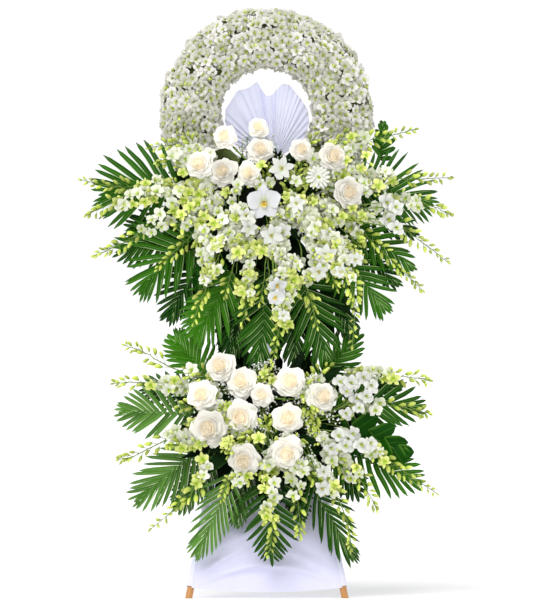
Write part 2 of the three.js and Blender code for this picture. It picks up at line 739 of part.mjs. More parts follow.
const FACES = {
  left: new THREE.Vector3(-1, 0, 0),
  right: new THREE.Vector3(1, 0, 0),
  bottom: new THREE.Vector3(0, 0, -1),
  top: new THREE.Vector3(0, 0, 1),
  front: new THREE.Vector3(0, -1, 0),
};

// Sets a stem's place on a face of the foam and leaves a plain square hole for it
function standIn(tier, face, place, radius) {
  const { halfX, y, z } = tier.foam;
  const out = FACES[face];
  const at = place.clone();
  if (out.x) at.x = halfX * out.x;
  if (out.y) at.y = y[0];
  if (out.z) at.z = out.z > 0 ? z[1] : z[0];
  const inside = at.clone().addScaledVector(out, -PEG_DEPTH);
  const end = at.clone().addScaledVector(out, -PEG_DEPTH - PEG_CLEARANCE);
  const mouth = at.clone().addScaledVector(out, 2);
  const reach = radius + PEG_CLEARANCE;
  const grow = new THREE.Vector3(1, 1, 1).sub(new THREE.Vector3(
    Math.abs(out.x), Math.abs(out.y), Math.abs(out.z))).multiplyScalar(reach);
  const low = end.clone().min(mouth).sub(grow);
  const high = end.clone().max(mouth).add(grow);
  holes.get(tier).push(box(low.toArray(), high.toArray()));
  return { tier, at, inside, out };
}

function foamBlock(tier) {
  const { halfX, y, z } = tier.foam;
  const block = box([-halfX, y[0], z[0]], [halfX, y[1], z[1]]);
  return block.subtract(union(holes.get(tier)));
}

// Smooth route through points, cut into a number of equal steps between two fractions
function stepsAlong(curve, from, to, count) {
  return Array.from({ length: count + 1 }, (_, i) => {
    const t = from + (to - from) * i / count;
    return { t, p: curve.getPoint(t), along: curve.getTangent(t) };
  });
}

// Draws a four-cornered face out to four new corners, with both broad faces split alike
function drawOut(body, base, ends) {
  const [a, b, c, d] = base;
  const [e, f, g, h] = ends.map((p) => body.point(p));
  body.quad(a, b, f, e);
  body.quad(c, g, f, b);
  body.quad(c, d, h, g);
  body.quad(d, a, e, h);
  body.quad(e, f, g, h);
}

// Draws the tips of two neighbouring leaflets apart where they would cross
function keepApart(first, second) {
  const ways = [first, second].map(({ base, tip }) => tip.clone().sub(base).setY(0).normalize());
  const way = ways[0].add(ways[1]).normalize();
  const aside = new THREE.Vector3(-way.z, 0, way.x);
  const middle = mix(first.base, second.base, 0.5);
  const offset = ({ tip }) => tip.clone().sub(middle).dot(aside);
  first.tip.addScaledVector(aside, Math.min(0, -LEAFLET_GAP / 2 - offset(first)));
  second.tip.addScaledVector(aside, Math.max(0, LEAFLET_GAP / 2 - offset(second)));
}

// Places along a frond's rib, from the bottom of its hole to its tip, and the first that has leaflets
function ribStations({ tier, face, at, route, leafFrom, pairs, layer }) {
  const sideways = face === 'left' || face === 'right';
  const rootX = sideways ? (face === 'left' ? -1 : 1) * tier.foam.halfX : at;
  const rootZ = sideways ? at : (face === 'top' ? tier.foam.z[1] : tier.foam.z[0]);
  const hole = standIn(tier, face, inFrontOf(tier, [rootX, rootZ], layer), RIB_HALF_WIDTH);
  const first = hole.at.clone().addScaledVector(hole.out, 6);
  const curve = new THREE.CatmullRomCurve3(
    [first, ...route.map((p) => inFrontOf(tier, p, layer))], false, 'centripetal');
  const leafy = stepsAlong(curve, leafFrom, 1, pairs);
  const bare = stepsAlong(curve, 0, leafFrom, 2).slice(0, 2);
  const stations = [{ p: hole.inside, along: hole.out }, ...bare, ...leafy];
  stations[1].along = hole.out.clone();
  stations.forEach((station, i) => {
    const half = RIB_HALF_WIDTH * (1 - 0.6 * Math.max(0, i - 2) / (stations.length - 3));
    const { p, along } = station;
    const side = new THREE.Vector3(-along.z, 0, along.x).normalize().multiplyScalar(half);
    Object.assign(station, { half, left: p.clone().add(side), right: p.clone().sub(side) });
  });
  return { stations, firstLeaf: stations.length - leafy.length };
}

// The two outer corners of a leaflet, each with the corner of the rib that it is drawn from
function leafletTips(spec, from, to, t, sign) {
  const { tier, reach, layer } = spec;
  const strap = spec.strap ?? STRAP_HALF_WIDTH;
  const [open, close] = spec.angles ?? [68, 14];
  const angle = THREE.MathUtils.degToRad(open + (close - open) * t);
  const length = reach * (0.78 + 0.9 * t - 1.3 * t * t);
  const along = from.along.clone().add(to.along).setY(0).normalize();
  const side = new THREE.Vector3(-along.z, 0, along.x).multiplyScalar(sign);
  const away = along.clone().multiplyScalar(Math.cos(angle)).addScaledVector(side, Math.sin(angle));
  const forward = along.clone().multiplyScalar(Math.sin(angle)).addScaledVector(side, -Math.cos(angle));
  const foot = mix(from.p, to.p, 0.5);
  const corner = (offset, extra) => {
    const q = foot.clone().addScaledVector(away, length + extra).addScaledVector(forward, offset);
    q.y = surfaceY(tier, q.x, q.z) - layer + DROOP * length;
    return q;
  };
  const edge = sign > 0 ? 'left' : 'right';
  return {
    near: { base: from[edge], tip: corner(-strap, -strap * 0.5) },
    far: { base: to[edge], tip: corner(strap, 0) },
  };
}

// A frond: a ridged rib from its hole to its tip, with strap leaflets drawn out of both edges
function frond(name, spec) {
  const { stations, firstLeaf } = ribStations(spec);
  const body = new Body();
  const thin = new THREE.Vector3(0, FROND_THICKNESS / 2, 0);
  const over = (p) => p.clone().sub(thin);
  const under = (p) => p.clone().add(thin);
  const rings = stations.map(({ p, left, right, half }) => [
    over(left), p.clone().sub(new THREE.Vector3(0, half, 0)), over(right), under(right), under(left),
  ].map((q) => body.point(q)));

  const places = Array.from({ length: spec.pairs }, (_, i) => i);
  const tipsOf = (sign) => places.map((i) => leafletTips(
    spec, stations[firstLeaf + i], stations[firstLeaf + i + 1], (i + 0.5) / spec.pairs, sign));
  const rightTips = tipsOf(-1);
  const leftTips = tipsOf(1);
  const fan = [
    ...rightTips.flatMap(({ near, far }) => [near, far]),
    ...leftTips.slice().reverse().flatMap(({ near, far }) => [far, near]),
  ];
  for (let k = 1; k + 1 < fan.length; k += 2) keepApart(fan[k], fan[k + 1]);

  for (let i = 0; i + 1 < rings.length; i++) {
    const a = rings[i];
    const b = rings[i + 1];
    for (const k of [0, 1, 3]) body.quad(a[k], a[k + 1], b[k + 1], b[k]);
    if (i < firstLeaf) {
      body.quad(a[2], a[3], b[3], b[2]);
      body.quad(a[4], a[0], b[0], b[4]);
      continue;
    }
    const right = rightTips[i - firstLeaf];
    const left = leftTips[i - firstLeaf];
    drawOut(body, [a[2], a[3], b[3], b[2]],
      [over(right.near.tip), under(right.near.tip), under(right.far.tip), over(right.far.tip)]);
    drawOut(body, [a[4], a[0], b[0], b[4]],
      [under(left.near.tip), over(left.near.tip), over(left.far.tip), under(left.far.tip)]);
  }
  const start = rings[0];
  const end = rings[rings.length - 1];
  for (let k = 1; k < 4; k++) {
    body.tri(start[0], start[k + 1], start[k]);
    body.tri(end[0], end[k], end[k + 1]);
  }
  addNode(name, body.solid(), spec.colour ?? 'frond', 0.5);
}

// Unit vectors square to an axis, and the angle of a point round it
function planeOf(axis) {
  const [side, up] = across(axis);
  return {
    side,
    up,
    at: (centre, angle, reach, height) => centre.clone()
      .addScaledVector(side, reach * Math.cos(angle))
      .addScaledVector(up, reach * Math.sin(angle))
      .addScaledVector(axis, height),
    angle: (centre, p) => Math.atan2(p.clone().sub(centre).dot(up), p.clone().sub(centre).dot(side)),
  };
}

function byAngle(loop) {
  return loop.slice().sort((a, b) => a.angle - b.angle);
}

// Petals of a floret out of an opening in a stem's face: an eye, valleys and petal tips
function growStar(body, opening, { from, centre, axis, radius, tips, valley, lift, spin }) {
  const plane = planeOf(axis);
  const valleys = [];
  const points = [];
  for (let k = 0; k < tips; k++) {
    const raw = spin + 2 * Math.PI * k / tips;
    const angle = Math.atan2(Math.sin(raw), Math.cos(raw));
    valleys.push({ angle, id: body.point(plane.at(centre, angle, radius * valley, 0)) });
    points.push(body.point(plane.at(centre, raw + Math.PI / tips, radius, radius * lift)));
  }
  const eye = body.point(plane.at(centre, 0, 0, radius * 0.08));
  for (let k = 0; k < tips; k++) {
    const next = valleys[(k + 1) % tips].id;
    body.tri(eye, valleys[k].id, points[k]);
    body.tri(eye, points[k], next);
    body.tri(valleys[k].id, next, points[k]);
  }
  const loop = opening.map((o) => ({ id: o.id, angle: plane.angle(from, o.position) }));
  stitch(body, byAngle(valleys), byAngle(loop), true);
}

// A bud out of an opening in a stem's face: a waist and a point
function growBud(body, opening, { centre, axis, length, radius }) {
  const plane = planeOf(axis);
  const waist = opening.map((o) =>
    body.point(plane.at(centre, plane.angle(centre, o.position), radius, length * 0.45)));
  const point = body.point(plane.at(centre, 0, 0, length));
  opening.forEach((o, k) => {
    const m = (k + 1) % 3;
    body.quad(o.id, opening[m].id, waist[m], waist[k]);
    body.tri(waist[k], waist[m], point);
  });
}

// A thin three-sided stem with florets and buds that grow out of its faces
function stemWithShoots(points, radii, shoots) {
  const body = new Body();
  let side = null;
  const rings = points.map((p, i) => {
    const along = points[Math.min(points.length - 1, i + 1)].clone()
      .sub(points[Math.max(0, i - 1)]).normalize();
    side = (side ?? new THREE.Vector3(0, -1, 0)).clone();
    side.sub(along.clone().multiplyScalar(side.dot(along))).normalize();
    const other = new THREE.Vector3().crossVectors(along, side);
    return [0, 1, 2].map((k) => {
      const angle = 2 * Math.PI * k / 3;
      const position = p.clone()
        .addScaledVector(side, radii[i] * Math.cos(angle))
        .addScaledVector(other, radii[i] * Math.sin(angle));
      return { position, id: body.point(position) };
    });
  });
  const faces = [];
  for (let i = 0; i + 1 < rings.length; i++) {
    const along = points[i + 1].clone().sub(points[i]).normalize();
    for (let k = 0; k < 3; k++) {
      const [a, b] = [rings[i][k], rings[i][(k + 1) % 3]];
      const [c, d] = [rings[i + 1][(k + 1) % 3], rings[i + 1][k]];
      const normal = b.position.clone().sub(a.position).cross(d.position.clone().sub(a.position)).normalize();
      faces.push({ corners: [a, b, c], i, half: 0, along, normal, edge: [a, b, c, d] });
      faces.push({ corners: [a, c, d], i, half: 1, along, normal, edge: [a, b, c, d] });
    }
  }
  const pieces = points.length - 1;
  for (const shoot of shoots) {
    const place = Math.min(shoot.t * pieces, pieces - 0.001);
    const i = Math.floor(place);
    const half = place - i < 0.5 ? 0 : 1;
    const free = faces.filter((f) => f.i === i && f.half === half && !f.shoot);
    free.sort((f, g) => g.normal.dot(shoot.way) - f.normal.dot(shoot.way));
    if (free.length && free[0].normal.dot(shoot.way) > 0.1) free[0].shoot = { ...shoot, local: place - i };
  }
  for (const face of faces) {
    const ids = face.corners.map((c) => c.id);
    if (face.shoot) openFace(body, face);
    else body.tri(...ids);
  }
  const last = rings[rings.length - 1];
  body.tri(rings[0][0].id, rings[0][2].id, rings[0][1].id);
  body.tri(last[0].id, last[1].id, last[2].id);
  return body.solid();
}

// Opens a small three-cornered mouth in a stem's face and grows the shoot out of it
function openFace(body, { corners, half, along, normal, edge, shoot }) {
  const [a, b, c, d] = edge.map((e) => e.position);
  const u = Math.min(0.93, Math.max(0.07, shoot.local));
  const left = mix(a, d, u);
  const right = mix(b, c, u);
  const [low, high] = half === 0 ? [u, 1] : [0, u];
  const centre = mix(left, right, (low + high) / 2);
  const width = left.distanceTo(right) * (high - low);
  const cross = right.clone().sub(left).normalize();
  const mouth = [
    centre.clone().addScaledVector(along, 1.2),
    centre.clone().addScaledVector(along, -0.6).addScaledVector(cross, -width * 0.3),
    centre.clone().addScaledVector(along, -0.6).addScaledVector(cross, width * 0.3),
  ];
  const plane = planeOf(normal);
  const opening = byAngle(mouth.map((position) => ({
    position, id: body.point(position), angle: plane.angle(centre, position),
  })));
  stitch(body, byAngle(corners.map((k) => ({ ...k, angle: plane.angle(centre, k.position) }))), opening);
  shoot.grow(body, opening, centre, normal, along);
}

// Starts a head's stem inside its peg and returns the loop at its neck
function growStem(body, from, neck, axis, radius) {
  const plane = planeOf(axis);
  const way = neck.clone().sub(from).normalize();
  const root = planeOf(way);
  const loop = [0, 1, 2].map((k) => {
    const angle = -2.9 + 2 * Math.PI * k / 3;
    const position = plane.at(neck, angle, radius, 0);
    return { angle, position, id: body.point(position) };
  });
  const first = root.angle(neck, loop[0].position);
  const foot = loop.map((_, k) => body.point(root.at(from, first + 2 * Math.PI * k / 3, radius, 0)));
  body.tri(foot[0], foot[2], foot[1]);
  loop.forEach((p, k) => {
    const m = (k + 1) % 3;
    body.quad(foot[k], foot[m], loop[m].id, p.id);
  });
  return loop;
}

// Orchid blossom of five uneven lobes on its stem
function mothOrchid(from, centre, axis, size, roll) {
  const body = new Body();
  const plane = planeOf(axis);
  const at = (degrees, reach, height) =>
    plane.at(centre, THREE.MathUtils.degToRad(degrees + roll), size * reach, size * height);
  const rim = MOTH_LOBES.flatMap(([angle, half, reach]) => [
    at(angle - half, reach, 0.06),
    at(angle + half, reach, 0.06),
    at(angle + 36, 0.36, 0),
  ]).map((p) => ({ id: body.point(p), angle: plane.angle(centre, p) }));
  const eye = body.point(at(0, 0, 0.1));
  rim.forEach((p, k) => body.tri(eye, p.id, rim[(k + 1) % rim.length].id));
  const neck = growStem(body, from, at(0, 0, -0.3), axis, HEAD_STEM_RADIUS);
  stitch(body, byAngle(rim), neck, true);
  return body.solid();
}

// Many-petalled daisy on its stem
function daisy(from, centre, axis, radius) {
  const body = new Body();
  const back = centre.clone().addScaledVector(axis, -0.3 * radius);
  const neck = growStem(body, from, back, axis, HEAD_STEM_RADIUS);
  growStar(body, neck, { from: back, centre, axis, radius, tips: 9, valley: 0.7, lift: 0.25, spin: 0.1 });
  return body.solid();
}

// Rose: whorls of petals around a closed heart, each whorl's rim standing above the valley inside it
function rose(from, centre, axis, radius, spin) {
  const body = new Body();
  const plane = planeOf(axis);
  const rings = ROSE_WHORLS.map(({ size, height, wave, rise, turn }) =>
    Array.from({ length: ROSE_DIVISIONS }, (_, k) => {
      const raw = spin + turn + 2 * Math.PI * k / ROSE_DIVISIONS;
      const angle = Math.atan2(Math.sin(raw), Math.cos(raw));
      const odd = k % 2 ? 1 : -1;
      const p = plane.at(centre, angle, radius * (size + odd * wave), radius * (height + odd * rise));
      return { angle, id: body.point(p) };
    }));
  const heart = body.point(plane.at(centre, 0, 0, 0.5 * radius));
  rings.forEach((ring, i) => {
    ring.forEach((p, k) => {
      const next = (k + 1) % ROSE_DIVISIONS;
      if (i + 1 === rings.length) body.tri(heart, p.id, ring[next].id);
      else body.quad(p.id, ring[next].id, rings[i + 1][next].id, rings[i + 1][k].id);
    });
  });
  const under = centre.clone().addScaledVector(axis, -0.8 * radius);
  const neck = growStem(body, from, under, axis, ROSE_STEM_RADIUS);
  stitch(body, byAngle(rings[0]), neck, true);
  return body.solid();
}

function pegOf(hole, radius) {
  const end = hole.at.clone().addScaledVector(hole.out, PEG_STANDS_OUT);
  return tube([hole.inside, end], [radius, radius], 6);
}

// Where a stem starts inside its peg, a little towards its own side
function rootPoint(hole, towards) {
  const aside = towards.clone().sub(hole.at);
  aside.addScaledVector(hole.out, -aside.dot(hole.out)).normalize().multiplyScalar(PEG_RADIUS * 0.45);
  return hole.at.clone().addScaledVector(hole.out, PEG_STANDS_OUT * 0.5).add(aside);
}

// Orchid spray: a thin stem with florets on its inner part and buds out to its tip
function orchidSpray(hole, [route, ahead, florets, buds], random) {
  const points = route.map((p, i) => inFrontOf(hole.tier, p,
    Array.isArray(ahead) ? ahead[0] + (ahead[1] - ahead[0]) * i / (route.length - 1) : ahead));
  const curve = new THREE.CatmullRomCurve3([rootPoint(hole, points[0]), ...points], false, 'centripetal');
  const steps = stepsAlong(curve, 0, 1, STEM_STEPS);
  const front = new THREE.Vector3(0, -1, 0);
  const sideAt = (t) => new THREE.Vector3().crossVectors(curve.getTangent(t), front).normalize();
  const shoots = [];
  const last = buds ? FLORETS_TO : 1.1;
  for (let i = 0; i < florets; i++) {
    const t = FLORETS_FROM + (last - FLORETS_FROM) * (i + 0.3 * random()) / florets;
    const lean = (i % 2 ? 1 : -1) * 0.5;
    const spin = random() * 6;
    const way = front.clone().addScaledVector(sideAt(t), lean).normalize();
    shoots.push({
      t,
      way,
      grow: (body, opening, mouth, normal) => growStar(body, opening, {
        from: mouth,
        centre: mouth.clone().addScaledVector(normal, 5).addScaledVector(front, 4),
        axis: front.clone().addScaledVector(normal, 0.8).normalize(),
        radius: FLORET_RADIUS * (1.3 - 0.6 * t) * (buds ? 1 : COVER_SIZE),
        tips: 5, valley: 0.56, lift: 0.2, spin,
      }),
    });
  }
  const budsFrom = FLORETS_TO + 0.05;
  for (let i = 0; i < buds; i++) {
    const t = Math.min(0.97, budsFrom + (0.98 - budsFrom) * (i + 0.5) / (buds - 0.5));
    const size = 1.3 - 0.45 * t;
    shoots.push({
      t,
      way: sideAt(t).multiplyScalar(i % 2 ? 1 : -1).addScaledVector(front, 0.3),
      grow: (body, opening, centre, normal, along) => growBud(body, opening, {
        centre, axis: normal.clone().addScaledVector(along, 1.1).normalize(),
        length: BUD_LENGTH * size, radius: BUD_RADIUS * size,
      }),
    });
  }
  return stemWithShoots(steps.map((s) => s.p), steps.map((s) => 2.5 - 1.1 * s.t), shoots);
}

function orchidBunch(name, tier, face, place, sprays, seed) {
  const hole = standIn(tier, face, vec(place), PEG_RADIUS);
  const random = randomFrom(seed);
  const solids = [pegOf(hole, PEG_RADIUS)];
  for (const spray of sprays) solids.push(orchidSpray(hole, spray, random));
  addNode(name, union(solids), 'orchid', 0.6);
}

// Faces a head forwards, leaning a little away from the middle of its spray
function headAxis(tier, [x, z], lean) {
  const away = new THREE.Vector3(x, 0, z - tier.z).multiplyScalar(lean / 300);
  return new THREE.Vector3(0, -1, 0).add(away).normalize();
}

function roseGroup(name, tier, place, heads, ahead, seed) {
  const hole = standIn(tier, 'front', vec(place), PEG_RADIUS);
  const random = randomFrom(seed);
  const solids = [pegOf(hole, PEG_RADIUS)];
  for (const [x, z, radius, more = 0] of heads) {
    const axis = headAxis(tier, [x, z], 0.5);
    const centre = inFrontOf(tier, [x, z], ahead + more);
    solids.push(rose(rootPoint(hole, centre), centre, axis, radius, random() * 6));
  }
  addNode(name, union(solids), 'rose', 0.6);
}

function whiteBlooms(name, tier, place, heads, ahead, seed) {
  const hole = standIn(tier, 'front', vec(place), PEG_RADIUS);
  const random = randomFrom(seed);
  const solids = [pegOf(hole, PEG_RADIUS)];
  for (const [x, z, radius, kind = 'moth', more = 0] of heads) {
    const axis = headAxis(tier, [x, z], 0.4);
    const centre = inFrontOf(tier, [x, z], ahead + more);
    solids.push(kind === 'moth'
      ? mothOrchid(rootPoint(hole, centre), centre, axis, radius, (random() - 0.5) * 40)
      : daisy(rootPoint(hole, centre), centre, axis, radius));
  }
  addNode(name, union(solids), 'white', 0.6);
}

// Fine filler: twigs with small round heads along them
function fillerSprig(name, tier, face, place, tips, ahead) {
  const hole = standIn(tier, face, vec(place), PEG_RADIUS);
  const solids = [pegOf(hole, PEG_RADIUS)];
  for (const tip of tips) {
    const end = inFrontOf(tier, tip, ahead);
    const start = rootPoint(hole, end);
    const middle = mix(start, end, 0.5).add(new THREE.Vector3(0, 10, 0));
    const side = new THREE.Vector3(1, -0.4, 0);
    const shoots = [0.35, 0.52, 0.7, 0.9].map((t, i) => ({
      t,
      way: side.clone().multiplyScalar(i % 2 ? 1 : -1),
      grow: (body, opening, centre, normal, along) => growBud(body, opening, {
        centre, axis: normal.clone().addScaledVector(along, 0.5).normalize(), length: 22, radius: 5,
      }),
    }));
    solids.push(stemWithShoots([start, middle, end], [2.4, 2.2, 2], shoots));
  }
  addNode(name, union(solids), 'gypsophila', 0.8);
}

function buildFronds() {
  for (const [name, spec] of Object.entries(UPPER_FRONDS)) frond(name, { tier: UPPER, ...spec });
  for (const [name, spec] of Object.entries(LOWER_FRONDS)) frond(name, { tier: LOWER, ...spec });
}

function buildFlowers() {
  let seed = 1;
  for (const [tier, bunches] of [[UPPER, UPPER_ORCHIDS], [LOWER, LOWER_ORCHIDS]]) {
    for (const [name, { face, place, sprays }] of Object.entries(bunches)) {
      orchidBunch(name, tier, face, place, sprays, seed++);
    }
  }
  for (const [tier, groups] of [[UPPER, UPPER_ROSES], [LOWER, LOWER_ROSES]]) {
    for (const [name, { place, heads }] of Object.entries(groups)) {
      roseGroup(name, tier, place, heads, ROSES_AHEAD, seed++);
    }
  }
  for (const [name, { tier, place, heads, ahead }] of Object.entries(WHITE_BLOOMS)) {
    whiteBlooms(name, tier, place, heads, ahead, seed++);
  }
  fillerSprig('gypsophila_upper', UPPER, 'top', [-60, -118, 1240], [[-72, 1300], [10, 1318]], 88);
  fillerSprig('gypsophila_lower', LOWER, 'top', [-10, -205, 590], [[-25, 645], [30, 675]], 84);
}

buildStand();
addNode('skirt', sheet(SKIRT.columns, SKIRT.rows, SKIRT.thickness, skirtPoint), 'skirt', 0.85);
buildWreath();
buildFronds();
addNode('bow', bow(), 'bow', 0.85);
for (const [name, spec] of Object.entries(LEAVES)) {
  frond(name, { tier: name.endsWith('upper') ? UPPER : LOWER, ...spec });
}
buildFlowers();
addNode('foam_upper', foamBlock(UPPER), 'foam', 0.9);
addNode('foam_lower', foamBlock(LOWER), 'foam', 0.9);

export default part;
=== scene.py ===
import math
import random
import bpy
from mathutils import Matrix, Vector, noise


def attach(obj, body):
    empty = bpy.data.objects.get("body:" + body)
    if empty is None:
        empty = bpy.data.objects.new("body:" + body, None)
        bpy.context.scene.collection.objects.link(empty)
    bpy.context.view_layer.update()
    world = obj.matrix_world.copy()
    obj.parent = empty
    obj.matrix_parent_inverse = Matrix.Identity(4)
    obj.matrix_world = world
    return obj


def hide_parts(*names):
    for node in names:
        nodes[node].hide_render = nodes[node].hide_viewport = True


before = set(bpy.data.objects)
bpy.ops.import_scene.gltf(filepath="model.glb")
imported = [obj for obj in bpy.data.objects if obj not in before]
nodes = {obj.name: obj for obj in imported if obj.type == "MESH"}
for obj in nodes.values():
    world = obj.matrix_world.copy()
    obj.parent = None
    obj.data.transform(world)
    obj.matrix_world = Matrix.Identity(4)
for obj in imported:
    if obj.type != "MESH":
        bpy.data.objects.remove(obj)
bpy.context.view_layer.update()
mm = 0.001
centring = Vector((0.6, -66.2, 0)) * mm  # tables count y from the wreath's plane, as the solids do
front = Vector((0, -1, 0))
noise.seed_set(3)  # noise_vector takes its offsets from it
print("frame loaded")


def place(x, y, z):
    return Vector((x, y, z)) * mm + centring


def deselectAll():
    if bpy.context.object and bpy.context.object.mode != "OBJECT":
        bpy.ops.object.mode_set(mode="OBJECT")
    bpy.ops.object.select_all(action="DESELECT")


def editWhere(piece, chosen):
    # edit mode with the corners that pass the test selected
    bpy.context.view_layer.objects.active = piece
    bpy.ops.object.mode_set(mode="EDIT")
    bpy.ops.mesh.select_mode(type="VERT")
    bpy.ops.mesh.select_all(action="DESELECT")
    bpy.ops.object.mode_set(mode="OBJECT")
    for corner in piece.data.vertices:
        corner.select = chosen(corner.co)
    bpy.ops.object.mode_set(mode="EDIT")


def selectOnly(piece):
    deselectAll()
    piece.select_set(True)
    bpy.context.view_layer.objects.active = piece


def applyModifiers(piece):
    selectOnly(piece)
    for modifier in list(piece.modifiers):
        bpy.ops.object.modifier_apply(modifier=modifier.name)


def giveWall(piece, thickness, offset=0):
    wall = piece.modifiers.new("wall", "SOLIDIFY")
    wall.thickness = thickness
    wall.offset = offset
    applyModifiers(piece)


def smooth(piece, angle=50):
    selectOnly(piece)
    bpy.ops.object.shade_smooth_by_angle(angle=math.radians(angle))


def giveFinish(piece, finish):
    piece.data.materials.clear()
    piece.data.materials.append(finishes[finish])


def addGrid(name, columns, rows):
    # a flat square from -1 to 1
    deselectAll()
    bpy.ops.mesh.primitive_grid_add(x_subdivisions=columns, y_subdivisions=rows, size=2)
    grid = bpy.context.object
    grid.name = name
    return grid


def addBall(name, segments, rings, radius, height):
    deselectAll()
    bpy.ops.mesh.primitive_uv_sphere_add(
        segments=segments, ring_count=rings, radius=radius, location=(0, 0, height))
    bpy.ops.object.transform_apply(location=True, rotation=True, scale=True)
    ball = bpy.context.object
    ball.name = name
    return ball


def between(pair, share):
    return pair[0] + (pair[1] - pair[0]) * share


def giveTone(piece, tone=0.5):
    mesh = piece.data
    shade = mesh.attributes.get("tone") or mesh.attributes.new("tone", "FLOAT", "POINT")
    shade.data.foreach_set("value", [tone] * len(mesh.vertices))


def stamp(template, matrix, tone=0.5):
    # a copy of a modelled part with its own mesh, set in place
    twin = template.copy()
    twin.data = template.data.copy()
    twin.data.transform(matrix)
    giveTone(twin, tone)
    bpy.context.scene.collection.objects.link(twin)
    return twin


def joinAll(name, members):
    deselectAll()
    for member in members:
        member.select_set(True)
    bpy.context.view_layer.objects.active = members[0]
    bpy.ops.object.join()
    piece = bpy.context.object
    piece.name = name
    piece.data.name = name
    return piece


def finishPiece(piece, node):
    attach(piece, "root")
    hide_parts(node)


def unevenly(piece, depth, grain, anchor=None):
    # corners drift in a slow wave, less near the anchor, so that no two flowers are alike
    corners = piece.data.vertices
    for corner in corners:
        amount = depth if anchor is None else depth * min(1, (corner.co - anchor).length / 0.04)
        corner.co += noise.noise_vector(corner.co * grain) * amount
    piece.data.update()


def pieceName(node):
    words = node.split("_")
    return words[0] + "".join(word.capitalize() for word in words[1:])


def facing(spot, normal, size, spin=0.0):
    # a flower's own +Z looks along the normal, and its +Y stays as upright as it can
    z = normal.normalized()
    x = Vector((0, 0, 1)).cross(z)
    x = x.normalized() if x.length > 1e-3 else Vector((1, 0, 0))
    turn = Matrix((x, z.cross(x), z)).transposed().to_4x4()
    scale = Matrix.Diagonal((size, size, size, 1))
    return Matrix.Translation(spot) @ turn @ Matrix.Rotation(spin, 4, "Z") @ scale


def laid(spot, along, face, width, length):
    # a blade's own +Y runs along, and its +Z faces the given way
    y = along.normalized()
    x = y.cross(face).normalized()
    turn = Matrix((x, y, x.cross(y))).transposed().to_4x4()
    return Matrix.Translation(spot) @ turn @ Matrix.Diagonal((width, length, width, 1))


def routePoint(points, t):
    # centripetal curve through the points, t from 0 to 1
    last = len(points) - 1
    at = min(max(t, 0.0) * last, last - 1e-6)
    i = int(at)
    w = at - i
    p1, p2 = points[i], points[i + 1]
    p0 = points[i - 1] if i else p1 * 2 - p2
    p3 = points[i + 2] if i + 2 <= last else p2 * 2 - p1
    d0, d1, d2 = (max(step.length ** 0.5, 1e-3) for step in (p1 - p0, p2 - p1, p3 - p2))
    t1 = ((p1 - p0) / d0 - (p2 - p0) / (d0 + d1) + (p2 - p1) / d1) * d1
    t2 = ((p2 - p1) / d1 - (p3 - p1) / (d1 + d2) + (p3 - p2) / d2) * d1
    bend = (p2 - p1) * 3 - t1 * 2 - t2
    close = (p1 - p2) * 2 + t1 + t2
    return p1 + (t1 + (bend + close * w) * w) * w


def routeWay(points, t):
    return (routePoint(points, min(t + 0.01, 1)) - routePoint(points, t - 0.01)).normalized()


# Materials
def lightOf(red, green, blue):
    # a colour as seen on screen, 0 to 255, made linear
    return tuple(((c / 255 + 0.055) / 1.055) ** 2.4 if c > 10 else c / 3295 for c in (red, green, blue))


def addNode(tree, kind, inputs=None, **settings):
    node = tree.nodes.new(kind)
    for key, value in settings.items():
        setattr(node, key, value)
    for key, value in (inputs or {}).items():
        if isinstance(value, bpy.types.NodeSocket):
            tree.links.new(value, node.inputs[key])
        else:
            node.inputs[key].default_value = value
    return node


def mapped(tree, value, low, high, start, end, kind="LINEAR"):
    node = addNode(tree, "ShaderNodeMapRange", {0: value, 1: low, 2: high, 3: start, 4: end},
                   interpolation_type=kind)
    return node.outputs[0]


def worked(tree, operation, *values, clamp=False):
    node = addNode(tree, "ShaderNodeMath", dict(enumerate(values)), operation=operation, use_clamp=clamp)
    return node.outputs[0]


def startGroup(name, inputs):
    # every group gives a colour and a height
    tree = bpy.data.node_groups.new(name, "ShaderNodeTree")
    for label, kind in inputs.items():
        tree.interface.new_socket(name=label, in_out="INPUT", socket_type="NodeSocket" + kind)
    for label, kind in (("Color", "Color"), ("Height", "Float")):
        tree.interface.new_socket(name=label, in_out="OUTPUT", socket_type="NodeSocket" + kind)
    return tree, tree.nodes.new("NodeGroupInput").outputs, tree.nodes.new("NodeGroupOutput").inputs


def mixColours(tree, share, first, second, blend="MIX"):
    node = addNode(tree, "ShaderNodeMix", data_type="RGBA", blend_type=blend)
    for index, value in ((0, share), (6, first), (7, second)):
        if isinstance(value, bpy.types.NodeSocket):
            tree.links.new(value, node.inputs[index])
        else:
            node.inputs[index].default_value = value
    return node.outputs[2]


